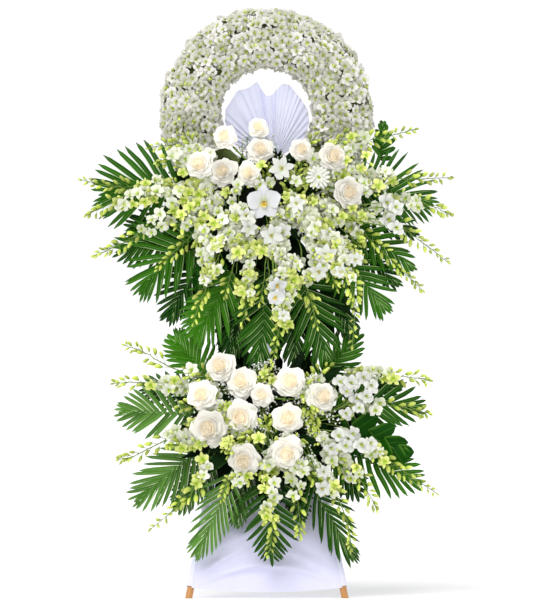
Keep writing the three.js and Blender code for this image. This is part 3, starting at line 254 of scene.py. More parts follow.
def petalShadeGroup():
    # colour from the root of a petal to its tip, fine veins, and a tone of its own for each flower, which
    # darkens it and can turn it towards the root's colour; on the spray florets the tone is painted shade,
    # lower deeper in
    tree, given, out = startGroup("petalShade", {
        "Root": "Color", "Body": "Color", "Tip": "Color", "Reach": "Float", "Spread": "Float",
        "Inner": "Float"})
    uv = addNode(tree, "ShaderNodeUVMap", uv_map="petalMap")
    parts = addNode(tree, "ShaderNodeSeparateXYZ", {0: uv.outputs[0]})
    along = parts.outputs[1]
    tone = addNode(tree, "ShaderNodeAttribute", attribute_name="tone").outputs["Fac"]
    rootShare = mapped(tree, along, 0.0, given["Reach"], 0.0, 1.0, "SMOOTHSTEP")
    colour = mixColours(tree, rootShare, given["Root"], given["Body"])
    colour = mixColours(tree, mapped(tree, along, 0.7, 1.0, 0.0, 0.8, "SMOOTHSTEP"), colour, given["Tip"])
    # painted shade: a low tone mixes in the root's colour, so deeper spray florets look limier
    colour = mixColours(tree, mapped(tree, tone, 0.0, 0.8, given["Inner"], 0.0), colour, given["Root"])
    shift = worked(tree, "MULTIPLY_ADD", worked(tree, "SUBTRACT", tone, 0.5), given["Spread"], 1.0)
    toned = addNode(tree, "ShaderNodeVectorMath", {0: colour, 3: shift}, operation="SCALE")
    lines = addNode(tree, "ShaderNodeCombineXYZ", {0: parts.outputs[0], 1: along})
    stretch = addNode(tree, "ShaderNodeMapping", {0: lines.outputs[0], 3: (14.0, 1.2, 1.0)})
    vein = addNode(tree, "ShaderNodeTexNoise", {"Vector": stretch.outputs[0], "Scale": 1.6, "Detail": 2.0})
    veined = mixColours(tree, 0.12, toned.outputs[0], vein.outputs["Fac"], "OVERLAY")
    tree.links.new(veined, out["Color"])
    tree.links.new(vein.outputs["Fac"], out["Height"])
    return tree


def leafShadeGroup():
    # blade colour with a paler midrib, lengthwise streaks, a painted highlight along one edge of each
    # leaflet, and a tone of its own for each leaf, which is lower, as painted shade, on the fronds behind
    tree, given, out = startGroup("leafShade", {
        "Dark": "Color", "Light": "Color", "Rib": "Color", "Streaks": "Float", "Edge": "Float"})
    uv = addNode(tree, "ShaderNodeUVMap", uv_map="petalMap")
    across = addNode(tree, "ShaderNodeSeparateXYZ", {0: uv.outputs[0]}).outputs[0]
    stretch = addNode(tree, "ShaderNodeMapping", {0: uv.outputs[0], 3: (9.0, 0.8, 1.0)})
    streak = addNode(tree, "ShaderNodeTexNoise", {"Vector": stretch.outputs[0], "Scale": 2.0, "Detail": 3.0})
    tone = addNode(tree, "ShaderNodeAttribute", attribute_name="tone").outputs["Fac"]
    share = worked(tree, "MULTIPLY_ADD", streak.outputs["Fac"], given["Streaks"], tone)
    blade = mixColours(tree, worked(tree, "ADD", share, -0.25, clamp=True), given["Dark"], given["Light"])
    distance = worked(tree, "ABSOLUTE", worked(tree, "SUBTRACT", across, 0.5))
    rib = mapped(tree, distance, 0.0, 0.05, 0.3, 0.0)
    # painted highlight: a pale band along one edge of each leaflet, in the rib's colour
    edge = mapped(tree, across, 0.04, 0.2, given["Edge"], 0.0)
    colour = mixColours(tree, worked(tree, "MAXIMUM", rib, edge), blade, given["Rib"])
    wave = addNode(tree, "ShaderNodeTexWave", {"Vector": uv.outputs[0], "Scale": 3.0, "Distortion": 0.4})
    tree.links.new(colour, out["Color"])
    tree.links.new(wave.outputs["Fac"], out["Height"])
    return tree


def clothWeaveGroup():
    # crossed threads, with slow unevenness over them
    tree, given, out = startGroup("clothWeave", {"Threads": "Float", "Cloth": "Color", "Shade": "Color"})
    spot = addNode(tree, "ShaderNodeTexCoord").outputs["Object"]
    upright, level = (addNode(tree, "ShaderNodeTexWave", {
        "Vector": spot, "Scale": given["Threads"], "Distortion": 0.6, "Detail": 1.0},
        bands_direction=axis).outputs["Fac"] for axis in "XZ")
    both = worked(tree, "ADD", upright, level)
    slow = addNode(tree, "ShaderNodeTexNoise", {"Vector": spot, "Scale": 9.0, "Detail": 3.0}).outputs["Fac"]
    share = worked(tree, "MULTIPLY_ADD", both, 0.12, slow, clamp=True)
    tree.links.new(mixColours(tree, share, given["Shade"], given["Cloth"]), out["Color"])
    tree.links.new(both, out["Height"])
    return tree


groups = {"petalShade": petalShadeGroup(), "leafShade": leafShadeGroup(), "clothWeave": clothWeaveGroup()}


def groupMaterial(name, group, values, roughness, bump, bumpDistance, **shaderValues):
    # colours are given as seen on screen
    material = bpy.data.materials.new(name)
    material.use_nodes = True
    tree = material.node_tree
    shader = tree.nodes["Principled BSDF"]
    effect = tree.nodes.new("ShaderNodeGroup")
    effect.node_tree = groups[group]
    for key, value in values.items():
        effect.inputs[key].default_value = (*lightOf(*value), 1) if isinstance(value, tuple) else value
    tree.links.new(effect.outputs["Color"], shader.inputs["Base Color"])
    relief = addNode(tree, "ShaderNodeBump", {
        "Strength": bump, "Distance": bumpDistance, "Height": effect.outputs["Height"]})
    tree.links.new(relief.outputs["Normal"], shader.inputs["Normal"])
    shader.inputs["Roughness"].default_value = roughness
    for key, value in shaderValues.items():
        shader.inputs[key.replace("_", " ")].default_value = value
    return material


def petalMaterial(name, root, body, tip, reach=0.4, spread=0.25, inner=0.0):
    values = {"Root": root, "Body": body, "Tip": tip, "Reach": reach, "Spread": spread, "Inner": inner}
    return groupMaterial(name, "petalShade", values, roughness=0.5, bump=0.25, bumpDistance=0.0006,
                         Specular_IOR_Level=0.25)


def leafMaterial(name, dark, light, rib, streaks=0.5, roughness=0.38, edge=0.7):
    # edge sets how strong the painted highlight along one edge of each leaflet is
    values = {"Dark": dark, "Light": light, "Rib": rib, "Streaks": streaks, "Edge": edge}
    return groupMaterial(name, "leafShade", values, roughness, bump=0.3, bumpDistance=0.0004,
                         Specular_IOR_Level=0.06)


def clothMaterial(name, threads, cloth, shade, roughness, bump=0.3, distance=0.0003, sheen=0.1):
    values = {"Threads": threads, "Cloth": cloth, "Shade": shade}
    return groupMaterial(name, "clothWeave", values, roughness, bump, distance, Sheen_Weight=sheen)


def speckMaterial(name, dark, light, scale, roughness, bump=0.4, squeeze=(1, 1, 1)):
    # two colours in noise of a given scale over the piece, with its own relief
    material = bpy.data.materials.new(name)
    material.use_nodes = True
    tree = material.node_tree
    shader = tree.nodes["Principled BSDF"]
    spot = addNode(tree, "ShaderNodeTexCoord")
    stretch = addNode(tree, "ShaderNodeMapping", {0: spot.outputs["Object"], 3: squeeze})
    grain = addNode(tree, "ShaderNodeTexNoise", {"Vector": stretch.outputs[0], "Scale": scale, "Detail": 4.0})
    colour = mixColours(tree, grain.outputs["Fac"], (*lightOf(*dark), 1), (*lightOf(*light), 1))
    tree.links.new(colour, shader.inputs["Base Color"])
    relief = addNode(tree, "ShaderNodeBump", {
        "Strength": bump, "Distance": 0.001, "Height": grain.outputs["Fac"]})
    tree.links.new(relief.outputs["Normal"], shader.inputs["Normal"])
    shader.inputs["Roughness"].default_value = roughness
    return material


# colours at the root, on the body and at the tip, how far the root's colour reaches, how much the tones
# differ, and how much of the root's colour flowers of a low tone take: painted shade on the spray florets,
# whose tone falls deeper in, and random lime on the others
petalLooks = {
    "orchidPetal": ((150, 186, 28), (217, 223, 130), (229, 231, 176), 0.58, 0.4, 0.4),
    "whiteOrchidPetal": ((156, 188, 40), (226, 227, 210), (230, 230, 221), 0.36, 0.4, 0.3),
    "orchidLip": ((120, 166, 20), (178, 202, 56), (216, 224, 140)),
    "wreathLip": ((136, 166, 40), (178, 192, 82), (212, 217, 160), 0.5),
    "orchidBud": ((116, 148, 34), (182, 198, 86), (212, 218, 130), 0.6, 0.7),
    "wreathPetal": ((150, 170, 58), (208, 205, 199), (216, 212, 209), 0.48, 0.36, 0.26),
    "rosePetal": ((240, 216, 166), (240, 235, 220), (241, 239, 231), 0.5),
    "roseHeart": ((246, 212, 156), (245, 230, 200), (242, 235, 218), 0.66),
    "mothPetal": ((190, 202, 130), (210, 212, 213), (218, 220, 222), 0.34),
    "starPetal": ((170, 194, 80), (212, 214, 206), (220, 221, 218), 0.36),
    "mothLip": ((214, 160, 28), (222, 196, 78), (236, 228, 190), 0.6),
    "limeLip": ((128, 168, 26), (196, 208, 80), (222, 224, 140), 0.6),
    "daisyPetal": ((196, 212, 130), (226, 228, 218), (234, 235, 228), 0.3),
}
# dark and light blade, colour of the rib and of the painted highlight along one edge, streaks, roughness and
# how strong that painted edge highlight is
leafLooks = {
    "palmBlade": ((6, 52, 0), (58, 122, 10), (178, 206, 140)),
    # paler leaflets, with the painted edge highlight at full strength
    "palmPale": ((8, 58, 2), (102, 154, 60), (226, 236, 200), 0.9, 0.38, 1.0),
    "darkLeaf": ((4, 42, 0), (26, 84, 6), (80, 126, 40), 0.5, 0.4),
    # leaves coloured almost black: painted shade for the gaps between the flowers
    "fillLeaf": ((5, 16, 3), (14, 42, 8), (34, 66, 18), 0.5, 0.6),
}
# dark and light colour, scale of the grain, roughness, relief, and how the grain is drawn out
speckLooks = {
    "daisyHeart": ((110, 140, 26), (186, 196, 66), 900, 0.7, 0.8),
    "gypsoPetal": ((206, 210, 202), (236, 237, 232), 400, 0.8),
    "palmRib": ((84, 116, 40), (138, 164, 74), 60, 0.5),
    "flowerStem": ((72, 104, 28), (122, 150, 50), 80, 0.5),
    "foam": ((5, 12, 5), (12, 26, 10), 700, 0.95, 0.8),
    # the ring form's own green, darkened as painted shade where it shows between the wreath's florets
    "ringForm": ((58, 76, 30), (112, 128, 60), 120, 0.9, 0.5),
    "bamboo": ((160, 104, 54), (214, 158, 92), 60, 0.45, 0.25, (6, 6, 0.5)),
    "barBamboo": ((168, 118, 62), (216, 172, 108), 60, 0.45, 0.25, (0.5, 6, 6)),
    "floorPaint": ((249.3, 249.3, 249.3), (251.6, 251.6, 251.6), 3, 0.9, 0.02),
}
# threads, colour of the cloth and of its shaded parts, roughness, relief and sheen
clothLooks = {
    "wrapCloth": (260.0, (230, 231, 247), (212, 212, 236), 0.85),
    "skirtCloth": (240.0, (224, 224, 246), (208, 207, 238), 0.8),
    "gauze": (330.0, (236, 237, 255), (219, 221, 250), 0.75, 0.4),
    "lashing": (200.0, (210, 204, 188), (172, 164, 142), 0.9, 0.5, 0.0005, 0.0),
}
finishes = {}
for makeMaterial, looks in ((petalMaterial, petalLooks), (leafMaterial, leafLooks),
                            (speckMaterial, speckLooks), (clothMaterial, clothLooks)):
    for name, values in looks.items():
        finishes[name] = makeMaterial(name, *values)
print("materials made")


def chartBy(piece, at):
    # one map layer, laid out from where each corner is
    layers = piece.data.uv_layers
    while layers:
        layers.remove(layers[0])
    chart = layers.new(name="petalMap")
    for loop in piece.data.loops:
        chart.data[loop.index].uv = at(piece.data.vertices[loop.vertex_index].co)


# Blades: petals, leaflets and leaves drawn out row by row
def moveRow(blade, side, row):
    y, half, z = row
    editWhere(blade, lambda co: abs(co.y - side) < 1e-4)
    bpy.ops.transform.translate(value=(0, y - side, z))
    bpy.ops.transform.resize(value=(half, 1, 1), center_override=(0, y, z))


def drawBlade(name, columns, rows, finish, crease=0.0, thickness=0.0):
    # rows: distance along, half width, height
    blade = addGrid(name, columns, 1)
    moveRow(blade, -1, rows[0])
    moveRow(blade, 1, rows[1])
    y, half, z = rows[1]
    for nextY, nextHalf, nextZ in rows[2:]:
        bpy.ops.mesh.extrude_region_move(TRANSFORM_OT_translate={"value": (0, nextY - y, nextZ - z)})
        bpy.ops.transform.resize(value=(nextHalf / half, 1, 1), center_override=(0, nextY, nextZ))
        y, half, z = nextY, nextHalf, nextZ
    bpy.ops.object.mode_set(mode="OBJECT")
    widest = max(row[1] for row in rows)
    length = rows[-1][0]
    chartBy(blade, lambda co: (0.5 + co.x / widest / 2, co.y / length))
    for corner in blade.data.vertices:
        corner.co.z += crease * abs(corner.co.x)
    if thickness:
        giveWall(blade, thickness)
    giveFinish(blade, finish)
    smooth(blade)
    giveTone(blade)
    return blade


def turned(degrees, tilt=0.0, size=1.0, lift=0.0):
    # round the flower's axis, tipped up or down, and scaled
    scale = Matrix.Diagonal((size, size, size, 1))
    return (Matrix.Rotation(math.radians(degrees), 4, "Z") @ Matrix.Rotation(math.radians(tilt), 4, "X")
            @ Matrix.Translation((0, lift, 0)) @ scale)


def dropTemplates(*templates):
    for template in templates:
        bpy.data.objects.remove(template)


# Small orchid: two round petals, three narrower ones and a lip, a unit from heart to tip
floretSettings = {"petalTilt": 14, "sepalTilt": 8, "lipTilt": 48}


def modelFloret(name, petalFinish, lipFinish, fullness, crease, dome):
    s, w, d = floretSettings, fullness, dome
    petal = drawBlade("floretPetal", 2, [
        (0.02, 0.1, 0), (0.3, 0.34 * w, 0.05 * d), (0.7, 0.42 * w, 0.07 * d), (1, 0.17 * w, 0)],
        petalFinish, crease)
    sepal = drawBlade("floretSepal", 2, [
        (0.02, 0.1, 0), (0.32, 0.24 * w, 0.04 * d), (0.7, 0.27 * w, 0.05 * d), (1, 0.08 * w, 0)],
        petalFinish, crease)
    lip = drawBlade("floretLip", 2, [(0, 0.08, 0), (0.2, 0.18, 0.03), (0.5, 0.17, 0.0)], lipFinish, 0.7)
    members = [stamp(petal, turned(angle, s["petalTilt"])) for angle in (-68, 68)]
    members += [stamp(sepal, turned(angle, s["sepalTilt"])) for angle in (0, 138, 222)]
    members.append(stamp(lip, turned(180, s["lipTilt"])))
    dropTemplates(petal, sepal, lip)
    return joinAll(name, members)


# Bud: a drawn-out ball that narrows to its stalk, a unit long with its root at the origin
def modelBud():
    bud = addBall("budTemplate", 7, 5, 0.5, 0.5)
    editWhere(bud, lambda co: True)
    bpy.ops.transform.resize(value=(0.5, 0.5, 1), center_override=(0, 0, 0))
    editWhere(bud, lambda co: co.z < 0.3)
    bpy.ops.transform.resize(value=(0.6, 0.6, 1), center_override=(0, 0, 0.2))
    editWhere(bud, lambda co: co.z > 0.72)
    bpy.ops.transform.translate(value=(0, -0.05, 0.06))
    bpy.ops.object.mode_set(mode="OBJECT")
    chartBy(bud, lambda co: (0.5 + math.atan2(co.y, co.x) / math.tau, co.z))
    giveFinish(bud, "orchidBud")
    smooth(bud, 80)
    giveTone(bud)
    return bud


# Large white orchid: two broad petals, three narrower ones, a yellow-hearted lip
def modelMoth():
    broad = drawBlade("mothBroad", 6, [
        (0.03, 0.12, 0), (0.18, 0.34, 0.03), (0.42, 0.54, 0.06), (0.68, 0.54, 0.05), (0.9, 0.34, 0.02),
        (1.04, 0.06, -0.04)], "mothPetal", 0.14, 0.014)
    narrow = drawBlade("mothNarrow", 4, [
        (0.03, 0.1, 0), (0.2, 0.28, 0.03), (0.5, 0.42, 0.06), (0.8, 0.34, 0.03), (1.04, 0.05, -0.04)],
        "mothPetal", 0.14, 0.014)
    lobe = drawBlade("mothLobe", 2, [(0, 0.06, 0), (0.16, 0.16, 0.02), (0.34, 0.12, 0.06), (0.44, 0.03, 0.1)],
                     "mothLip", 0.6, 0.014)
    members = [stamp(broad, turned(angle, 16, lift=0.02)) for angle in (-72, 72)]
    members += [stamp(narrow, turned(angle, 9)) for angle in (0, 144, 216)]
    members += [stamp(lobe, turned(angle, tilt, size)) for angle, tilt, size in (
        (180, 38, 1.0), (120, 62, 0.7), (240, 62, 0.7))]
    dropTemplates(broad, narrow, lobe)
    return joinAll("mothTemplate", members)


# Round white bloom: five petals, two of them flatter and larger, and a lime heart
def modelRound():
    petal = drawBlade("roundPetal", 4, [
        (0.03, 0.1, 0), (0.2, 0.26, 0.04), (0.5, 0.44, 0.1), (0.8, 0.4, 0.08), (1, 0.14, 0.0)],
        "starPetal", 0.16, 0.014)
    lobe = drawBlade("roundLobe", 2, [(0, 0.06, 0), (0.15, 0.14, 0.02), (0.34, 0.06, 0.06)],
                     "limeLip", 0.6, 0.014)
    members = [stamp(petal, turned(72 * k + 4, *((6, 1.05) if k % 2 else (22, 0.88)))) for k in range(5)]
    members += [stamp(lobe, turned(angle, 50)) for angle in (180, 100, 260)]
    dropTemplates(petal, lobe)
    return joinAll("roundTemplate", members)


# Star-shaped white bloom with pointed petals and a lime throat
def modelStar():
    petal = drawBlade("starPetal", 4, [
        (0.03, 0.08, 0), (0.2, 0.22, 0.03), (0.45, 0.33, 0.07), (0.75, 0.3, 0.05), (0.95, 0.12, -0.02),
        (1.04, 0.02, -0.06)], "starPetal", 0.16, 0.014)
    heart = drawBlade("starHeart", 2, [(0, 0.06, 0), (0.14, 0.11, 0.02), (0.28, 0.03, 0.06)],
                      "mothLip", 0.5, 0.014)
    members = [stamp(petal, turned(60 * k, 10 if k % 2 else 17, 1 if k % 2 else 0.94)) for k in range(6)]
    members += [stamp(heart, turned(72 * k, 58, 0.9)) for k in range(5)]
    dropTemplates(petal, heart)
    return joinAll("starTemplate", members)


# Daisy: three tiers of narrow petals round a domed heart
def modelDaisy():
    petal = drawBlade("daisyPetal", 2, [
        (0.12, 0.07, 0), (0.5, 0.12, 0.04), (0.85, 0.12, 0.02), (1, 0.05, -0.03)], "daisyPetal", 0.2, 0.014)
    members = []
    for tier, (count, tilt, size) in enumerate([(16, 4, 1.0), (14, 16, 0.86), (10, 34, 0.62)]):
        for k in range(count):
            members.append(stamp(petal, turned(360 * (k + 0.5 * tier) / count, tilt, size)))
    heart = addBall("daisyHeart", 16, 8, 0.24, 0.04)
    editWhere(heart, lambda co: True)
    bpy.ops.transform.resize(value=(1, 1, 0.55), center_override=(0, 0, 0))
    bpy.ops.object.mode_set(mode="OBJECT")
    giveFinish(heart, "daisyHeart")
    smooth(heart, 80)
    giveTone(heart)
    dropTemplates(petal)
    return joinAll("daisyTemplate", members + [heart])


# Rose: petals wrapped round the heart in whorls, the outer ones rolled back to a point
roseWhorls = [
    {"count": 2, "rim": 0.05, "top": 0.44, "spread": 110, "curl": 0.0, "finish": "roseHeart"},
    {"count": 3, "rim": 0.12, "top": 0.44, "spread": 84, "curl": 0.0, "finish": "roseHeart"},
    {"count": 3, "rim": 0.19, "top": 0.43, "spread": 80, "curl": 0.01, "finish": "roseHeart"},
    {"count": 4, "rim": 0.27, "top": 0.41, "spread": 66, "curl": 0.03, "finish": "roseHeart"},
    {"count": 4, "rim": 0.36, "top": 0.37, "spread": 66, "curl": 0.06, "finish": "roseHeart"},
    {"count": 5, "rim": 0.47, "top": 0.29, "spread": 54, "curl": 0.1, "finish": "rosePetal"},
    {"count": 5, "rim": 0.59, "top": 0.16, "spread": 54, "curl": 0.17, "finish": "rosePetal"},
    {"count": 5, "rim": 0.72, "top": -0.02, "spread": 53, "curl": 0.24, "finish": "rosePetal"},
    {"count": 6, "rim": 0.82, "top": -0.24, "spread": 46, "curl": 0.3, "finish": "rosePetal"},
]
roseShape = {"foot": 0.08, "base": -0.55, "cells": 5, "thickness": 0.016, "point": 0.17, "roll": 0.6,
             "core": 0.46, "coreTop": 0.37}


def roseAt(whorl, own, u, v):
    s = roseShape
    v *= 1 - 0.2 * u * u
    edge = max(0.0, (v - 0.58) / 0.42) ** 2
    width = 0.5 + 0.5 * math.sin(min(1.0, v * 1.6) * math.pi / 2)
    turn = math.radians(whorl["spread"]) * u * width
    curl = whorl["curl"] * own["curl"]
    radius = s["foot"] + (whorl["rim"] - s["foot"]) * v ** 0.6 + curl * edge
    radius += s["roll"] * curl * u ** 4 * v + 0.02 * u + s["point"] * edge * (1 - abs(u)) ** 2 * whorl["rim"]
    radius += 0.1 * whorl["rim"] * noise.noise(Vector((2.4 * u, 2.2 * v, own["seed"])))
    z = s["base"] + (whorl["top"] * own["rise"] - s["base"]) * v ** 0.9 - curl * 0.85 * edge
    z += 0.5 * whorl["rim"] * edge * noise.noise(Vector((2.8 * u, 7.0, own["seed"])))
    return Vector((radius * math.sin(turn), radius * math.cos(turn), z))


def modelRose(seed):
    s = roseShape
    dice = random.Random(seed)
    members = []
    for tier, whorl in enumerate(roseWhorls):
        for k in range(whorl["count"]):
            petal = addGrid("rosePetal", s["cells"], s["cells"])
            chartBy(petal, lambda co: (0.5 + co.x / 2, 0.5 + co.y / 2))
            own = {"curl": dice.uniform(0.8, 1.25), "rise": dice.uniform(0.94, 1.06)}
            own["seed"] = dice.uniform(0, 90)
            for corner in petal.data.vertices:
                corner.co = roseAt(whorl, own, corner.co.x, 0.5 + corner.co.y / 2)
            angle = 360 * (k + dice.uniform(-0.14, 0.14)) / whorl["count"] + 52 * tier
            petal.data.transform(turned(angle, dice.uniform(-5, 5), dice.uniform(0.95, 1.05)))
            giveFinish(petal, whorl["finish"])
            members.append(petal)
    rose = joinAll("roseTemplate" + str(seed), members)
    giveWall(rose, s["thickness"], -1)
    core = addBall("roseCore", 14, 9, s["core"], s["coreTop"] - s["core"])
    chartBy(core, lambda co: (0.5 + co.x, 0.5))
    giveFinish(core, "roseHeart")
    rose = joinAll("roseTemplate" + str(seed), [rose, core])
    smooth(rose, 60)
    giveTone(rose)
    return rose


# Tiny double blossom of the fine filler
def modelSpeck():
    deselectAll()
    bpy.ops.mesh.primitive_ico_sphere_add(subdivisions=1, radius=1)
    speck = bpy.context.object
    speck.name = "speckTemplate"
    editWhere(speck, lambda co: co.z > 0.3)
    bpy.ops.transform.resize(value=(1.25, 1.25, 0.8), center_override=(0, 0, 0))
    bpy.ops.object.mode_set(mode="OBJECT")
    while speck.data.uv_layers:
        speck.data.uv_layers.remove(speck.data.uv_layers[0])
    giveFinish(speck, "gypsoPetal")
    giveTone(speck)
    return speck


limeFloret = modelFloret("limeFloretTemplate", "orchidPetal", "orchidLip", 1.02, 0.3, 1.6)
whiteFloret = modelFloret("whiteFloretTemplate", "whiteOrchidPetal", "orchidLip", 1.15, 0.24, 1.6)
wreathFloret = modelFloret("wreathFloretTemplate", "wreathPetal", "wreathLip", 1.25, -0.34, 3.0)
bud = modelBud()
whiteHeads = {"moth": modelMoth(), "round": modelRound(), "star": modelStar(), "daisy": modelDaisy()}
roses = [modelRose(seed) for seed in (1, 2, 3)]
speck = modelSpeck()
leafletRows = [
    (0, 0.6, 0), (0.07, 0.9, 0.25), (0.3, 1.0, 0.55), (0.6, 0.97, 0.45), (0.85, 0.7, -0.1), (1, 0.1, -0.7)]
leaflet = drawBlade("leafletTemplate", 2, leafletRows, "palmBlade", 0.16, 0.12)
paleLeaflet = drawBlade("paleLeafletTemplate", 2, leafletRows, "palmPale", 0.16, 0.12)
broadLeaf = drawBlade("broadLeafTemplate", 4, [
    (0, 0.12, 0), (0.12, 0.62, 0.08), (0.35, 1.0, 0.2), (0.62, 0.92, 0.12), (0.84, 0.55, -0.12),
    (1, 0.06, -0.4)], "darkLeaf", 0.22, 0.08)
lobe = drawBlade("lobeTemplate", 4, [
    (0, 0.9, 0), (0.3, 1.0, 0.1), (0.66, 0.92, 0.14), (0.88, 0.6, 0.06), (1.04, 0.04, -0.1)],
    "darkLeaf", 0.12, 0.06)
# fill leaf template, coloured almost black as painted shade
fillLeaf = drawBlade("fillLeafTemplate", 2, [
    (0, 0.12, 0), (0.25, 0.85, 0.15), (0.6, 0.9, 0.1), (1, 0.06, -0.4)], "fillLeaf", 0.3, 0.1)
print("flower parts modelled")


# Stems: tubes along lines of (point, radius in millimetres)
def drawStems(name, lines, sides, finish):
    curve = bpy.data.curves.new(name, "CURVE")
    curve.dimensions = "3D"
    curve.bevel_depth = 1
    curve.bevel_resolution = sides
    curve.use_fill_caps = True
    for line in lines:
        spline = curve.splines.new("POLY")
        spline.points.add(len(line) - 1)
        for knot, (point, radius) in zip(spline.points, line):
            knot.co = (*point, 1)
            knot.radius = radius * mm
    stems = bpy.data.objects.new(name, curve)
    bpy.context.scene.collection.objects.link(stems)
    selectOnly(stems)
    bpy.ops.object.convert(target="MESH")
    stems = bpy.context.object
    giveFinish(stems, finish)
    stems.data.uv_layers.new(name="petalMap")
    smooth(stems, 60)
    giveTone(stems)
    return stems


# Stand
stand = {
    "poleRadius": 10.5, "wrapRadius": 13.0, "wrapFrom": 32, "wrapTo": 1085, "frontTop": 1225,
    "backTop": 1162, "feet": {"left": (-223, -222, 0), "right": (225, -216, 0), "back": (0, 470, 0)},
    "apex": {"left": (0, 61, 1150), "right": (0, 84, 1150), "back": (0, 110.5, 1160)},
    "barRadius": 9.5, "lean": 0.243,
}


def poleAt(side, height):
    foot, apex = Vector(stand["feet"][side]), Vector(stand["apex"][side])
    return foot.lerp(apex, height / apex.z)


def drawCane(name, start, end, radius, seed):
    # bamboo: swollen rings with a groove over each, at uneven distances
    dice = random.Random(seed)
    way = end - start
    length = way.length
    deselectAll()
    bpy.ops.mesh.primitive_circle_add(vertices=20, radius=radius, fill_type="NGON", location=(0, 0, 0))
    cane = bpy.context.object
    cane.name = name
    bpy.ops.object.mode_set(mode="EDIT")
    bpy.ops.mesh.select_all(action="SELECT")
    height = 0.0
    width = 1.0
    knot = dice.uniform(0.08, 0.16)
    stations = []
    while knot < length - 0.02:
        stations += [(knot - 0.006, 0.985), (knot - 0.002, 1.07), (knot + 0.001, 0.93), (knot + 0.007, 1.0)]
        knot += dice.uniform(0.2, 0.27)
    for at, size in stations + [(length, 0.97)]:
        bpy.ops.mesh.extrude_region_move(TRANSFORM_OT_translate={"value": (0, 0, at - height)})
        bpy.ops.transform.resize(value=(size / width, size / width, 1), center_override=(0, 0, at))
        height, width = at, size
    bpy.ops.mesh.select_all(action="SELECT")
    bpy.ops.mesh.normals_make_consistent(inside=False)
    bpy.ops.object.mode_set(mode="OBJECT")
    turn = way.to_track_quat("Z", "Y").to_matrix().to_4x4()
    cane.data.transform(Matrix.Translation(start) @ turn)
    return cane


def cutAtFloor(cane):
    editWhere(cane, lambda co: True)
    bpy.ops.mesh.bisect(plane_co=(0, 0, 0.0002), plane_no=(0, 0, 1), use_fill=True, clear_inner=True)
    bpy.ops.object.mode_set(mode="OBJECT")


def buildLegs():
    for seed, side in enumerate(("left", "right", "back"), 3):
        top = stand["backTop"] if side == "back" else stand["frontTop"]
        foot, tip = place(*poleAt(side, -30)), place(*poleAt(side, top))
        cane = drawCane("leg" + side.capitalize(), foot, tip, stand["poleRadius"] * mm * 0.97, seed)
        cutAtFloor(cane)
        giveFinish(cane, "bamboo")
        smooth(cane, 40)
        finishPiece(cane, "leg_" + side)


def buildBars():
    for seed, node in enumerate(("crossbar_lower", "crossbar_upper"), 21):
        corners = [Vector(v.co) for v in nodes[node].data.vertices]
        ends = []
        for outermost in (min, max):
            x = outermost(co.x for co in corners)
            ring = [co for co in corners if abs(co.x - x) < 0.004]
            ends.append(sum(ring, Vector()) / len(ring))
        bar = drawCane(pieceName(node), *ends, stand["barRadius"] * mm * 0.96, seed)
        giveFinish(bar, "barBamboo")
        smooth(bar, 40)
        finishPiece(bar, node)


# Cloth wound up each pole in an overlapping strip
wrapSettings = {"pitch": 46.0, "step": 1.1, "rings": 160, "around": 24, "thickness": 0.7}


def buildWraps():
    s = wrapSettings
    for side in ("left", "right", "back"):
        low, high = poleAt(side, stand["wrapFrom"]), poleAt(side, stand["wrapTo"])
        length = (high - low).length
        wrap = addGrid("wrap" + side.capitalize(), s["around"], s["rings"])
        for corner in wrap.data.vertices:
            angle = math.pi * corner.co.x
            along = length * (corner.co.y + 1) / 2
            lap = (along / s["pitch"] + angle / math.tau) % 1.0
            ridge = s["step"] * (1 - lap) if lap > 0.06 else s["step"] * lap / 0.06
            wrinkle = 0.25 * noise.noise(Vector((math.cos(angle), math.sin(angle), along / 14)))
            radius = stand["wrapRadius"] - s["step"] + ridge + wrinkle - 0.1
            corner.co = Vector((radius * math.cos(angle), radius * math.sin(angle), along)) * mm
        editWhere(wrap, lambda co: True)
        bpy.ops.mesh.remove_doubles(threshold=0.00002)
        bpy.ops.mesh.normals_make_consistent(inside=False)
        bpy.ops.object.mode_set(mode="OBJECT")
        giveWall(wrap, s["thickness"] * mm, -1)
        turn = (high - low).to_track_quat("Z", "Y").to_matrix().to_4x4()
        wrap.data.transform(Matrix.Translation(place(*low)) @ turn)
        giveFinish(wrap, "wrapCloth")
        smooth(wrap, 45)
        finishPiece(wrap, "wrap_" + side)


buildLegs()
buildBars()
buildWraps()
giveFinish(nodes["apex_lashing"], "lashing")
print("stand built")


# Skirt: cloth between the front legs, drawn in upwards, with folds that swag from corner to corner
skirtSettings = {
    "bottom": 30, "top": 468, "inset": 2, "drawIn": 14, "sag": 12, "forward": 13.7, "foldDepth": 17,
    "cornerFold": 11, "columns": 90, "rows": 80, "thickness": 0.8,
}


def skirtAt(u, v):
    s = skirtSettings
    height = s["bottom"] + (s["top"] - s["bottom"]) * v
    left, right = poleAt("left", height), poleAt("right", height)
    drawn = s["drawIn"] * v ** 0.75
    leftX = left.x + s["inset"] + drawn
    x = leftX + (right.x - s["inset"] - drawn - leftX) * u
    sag = math.sin(math.pi * u)
    z = height - s["sag"] * sag * (1 - v)
    plane = left.y + (right.y - left.y) * u - stand["lean"] * (height - z) - s["forward"]

    def fold(centre, width):
        return math.exp(-((z - centre) / (width if z > centre else width * 0.5)) ** 2)

    depth = s["foldDepth"] * sag * (fold(38 + 56 * sag, 17) + 0.6 * fold(120 + 70 * sag, 34))
    for side, low, climb in ((u, 64, 250), (1 - u, 60, 230)):
        corner = math.exp(-(side * 3.2) ** 2) * min(1, side * 8)
        depth += s["cornerFold"] * fold(low + climb * side, 16) * corner
    depth += 1.6 * noise.noise(Vector((x / 70, z / 55, 3.1))) * min(1, 6 * u, 6 * (1 - u))
    return place(x, plane - depth, z)


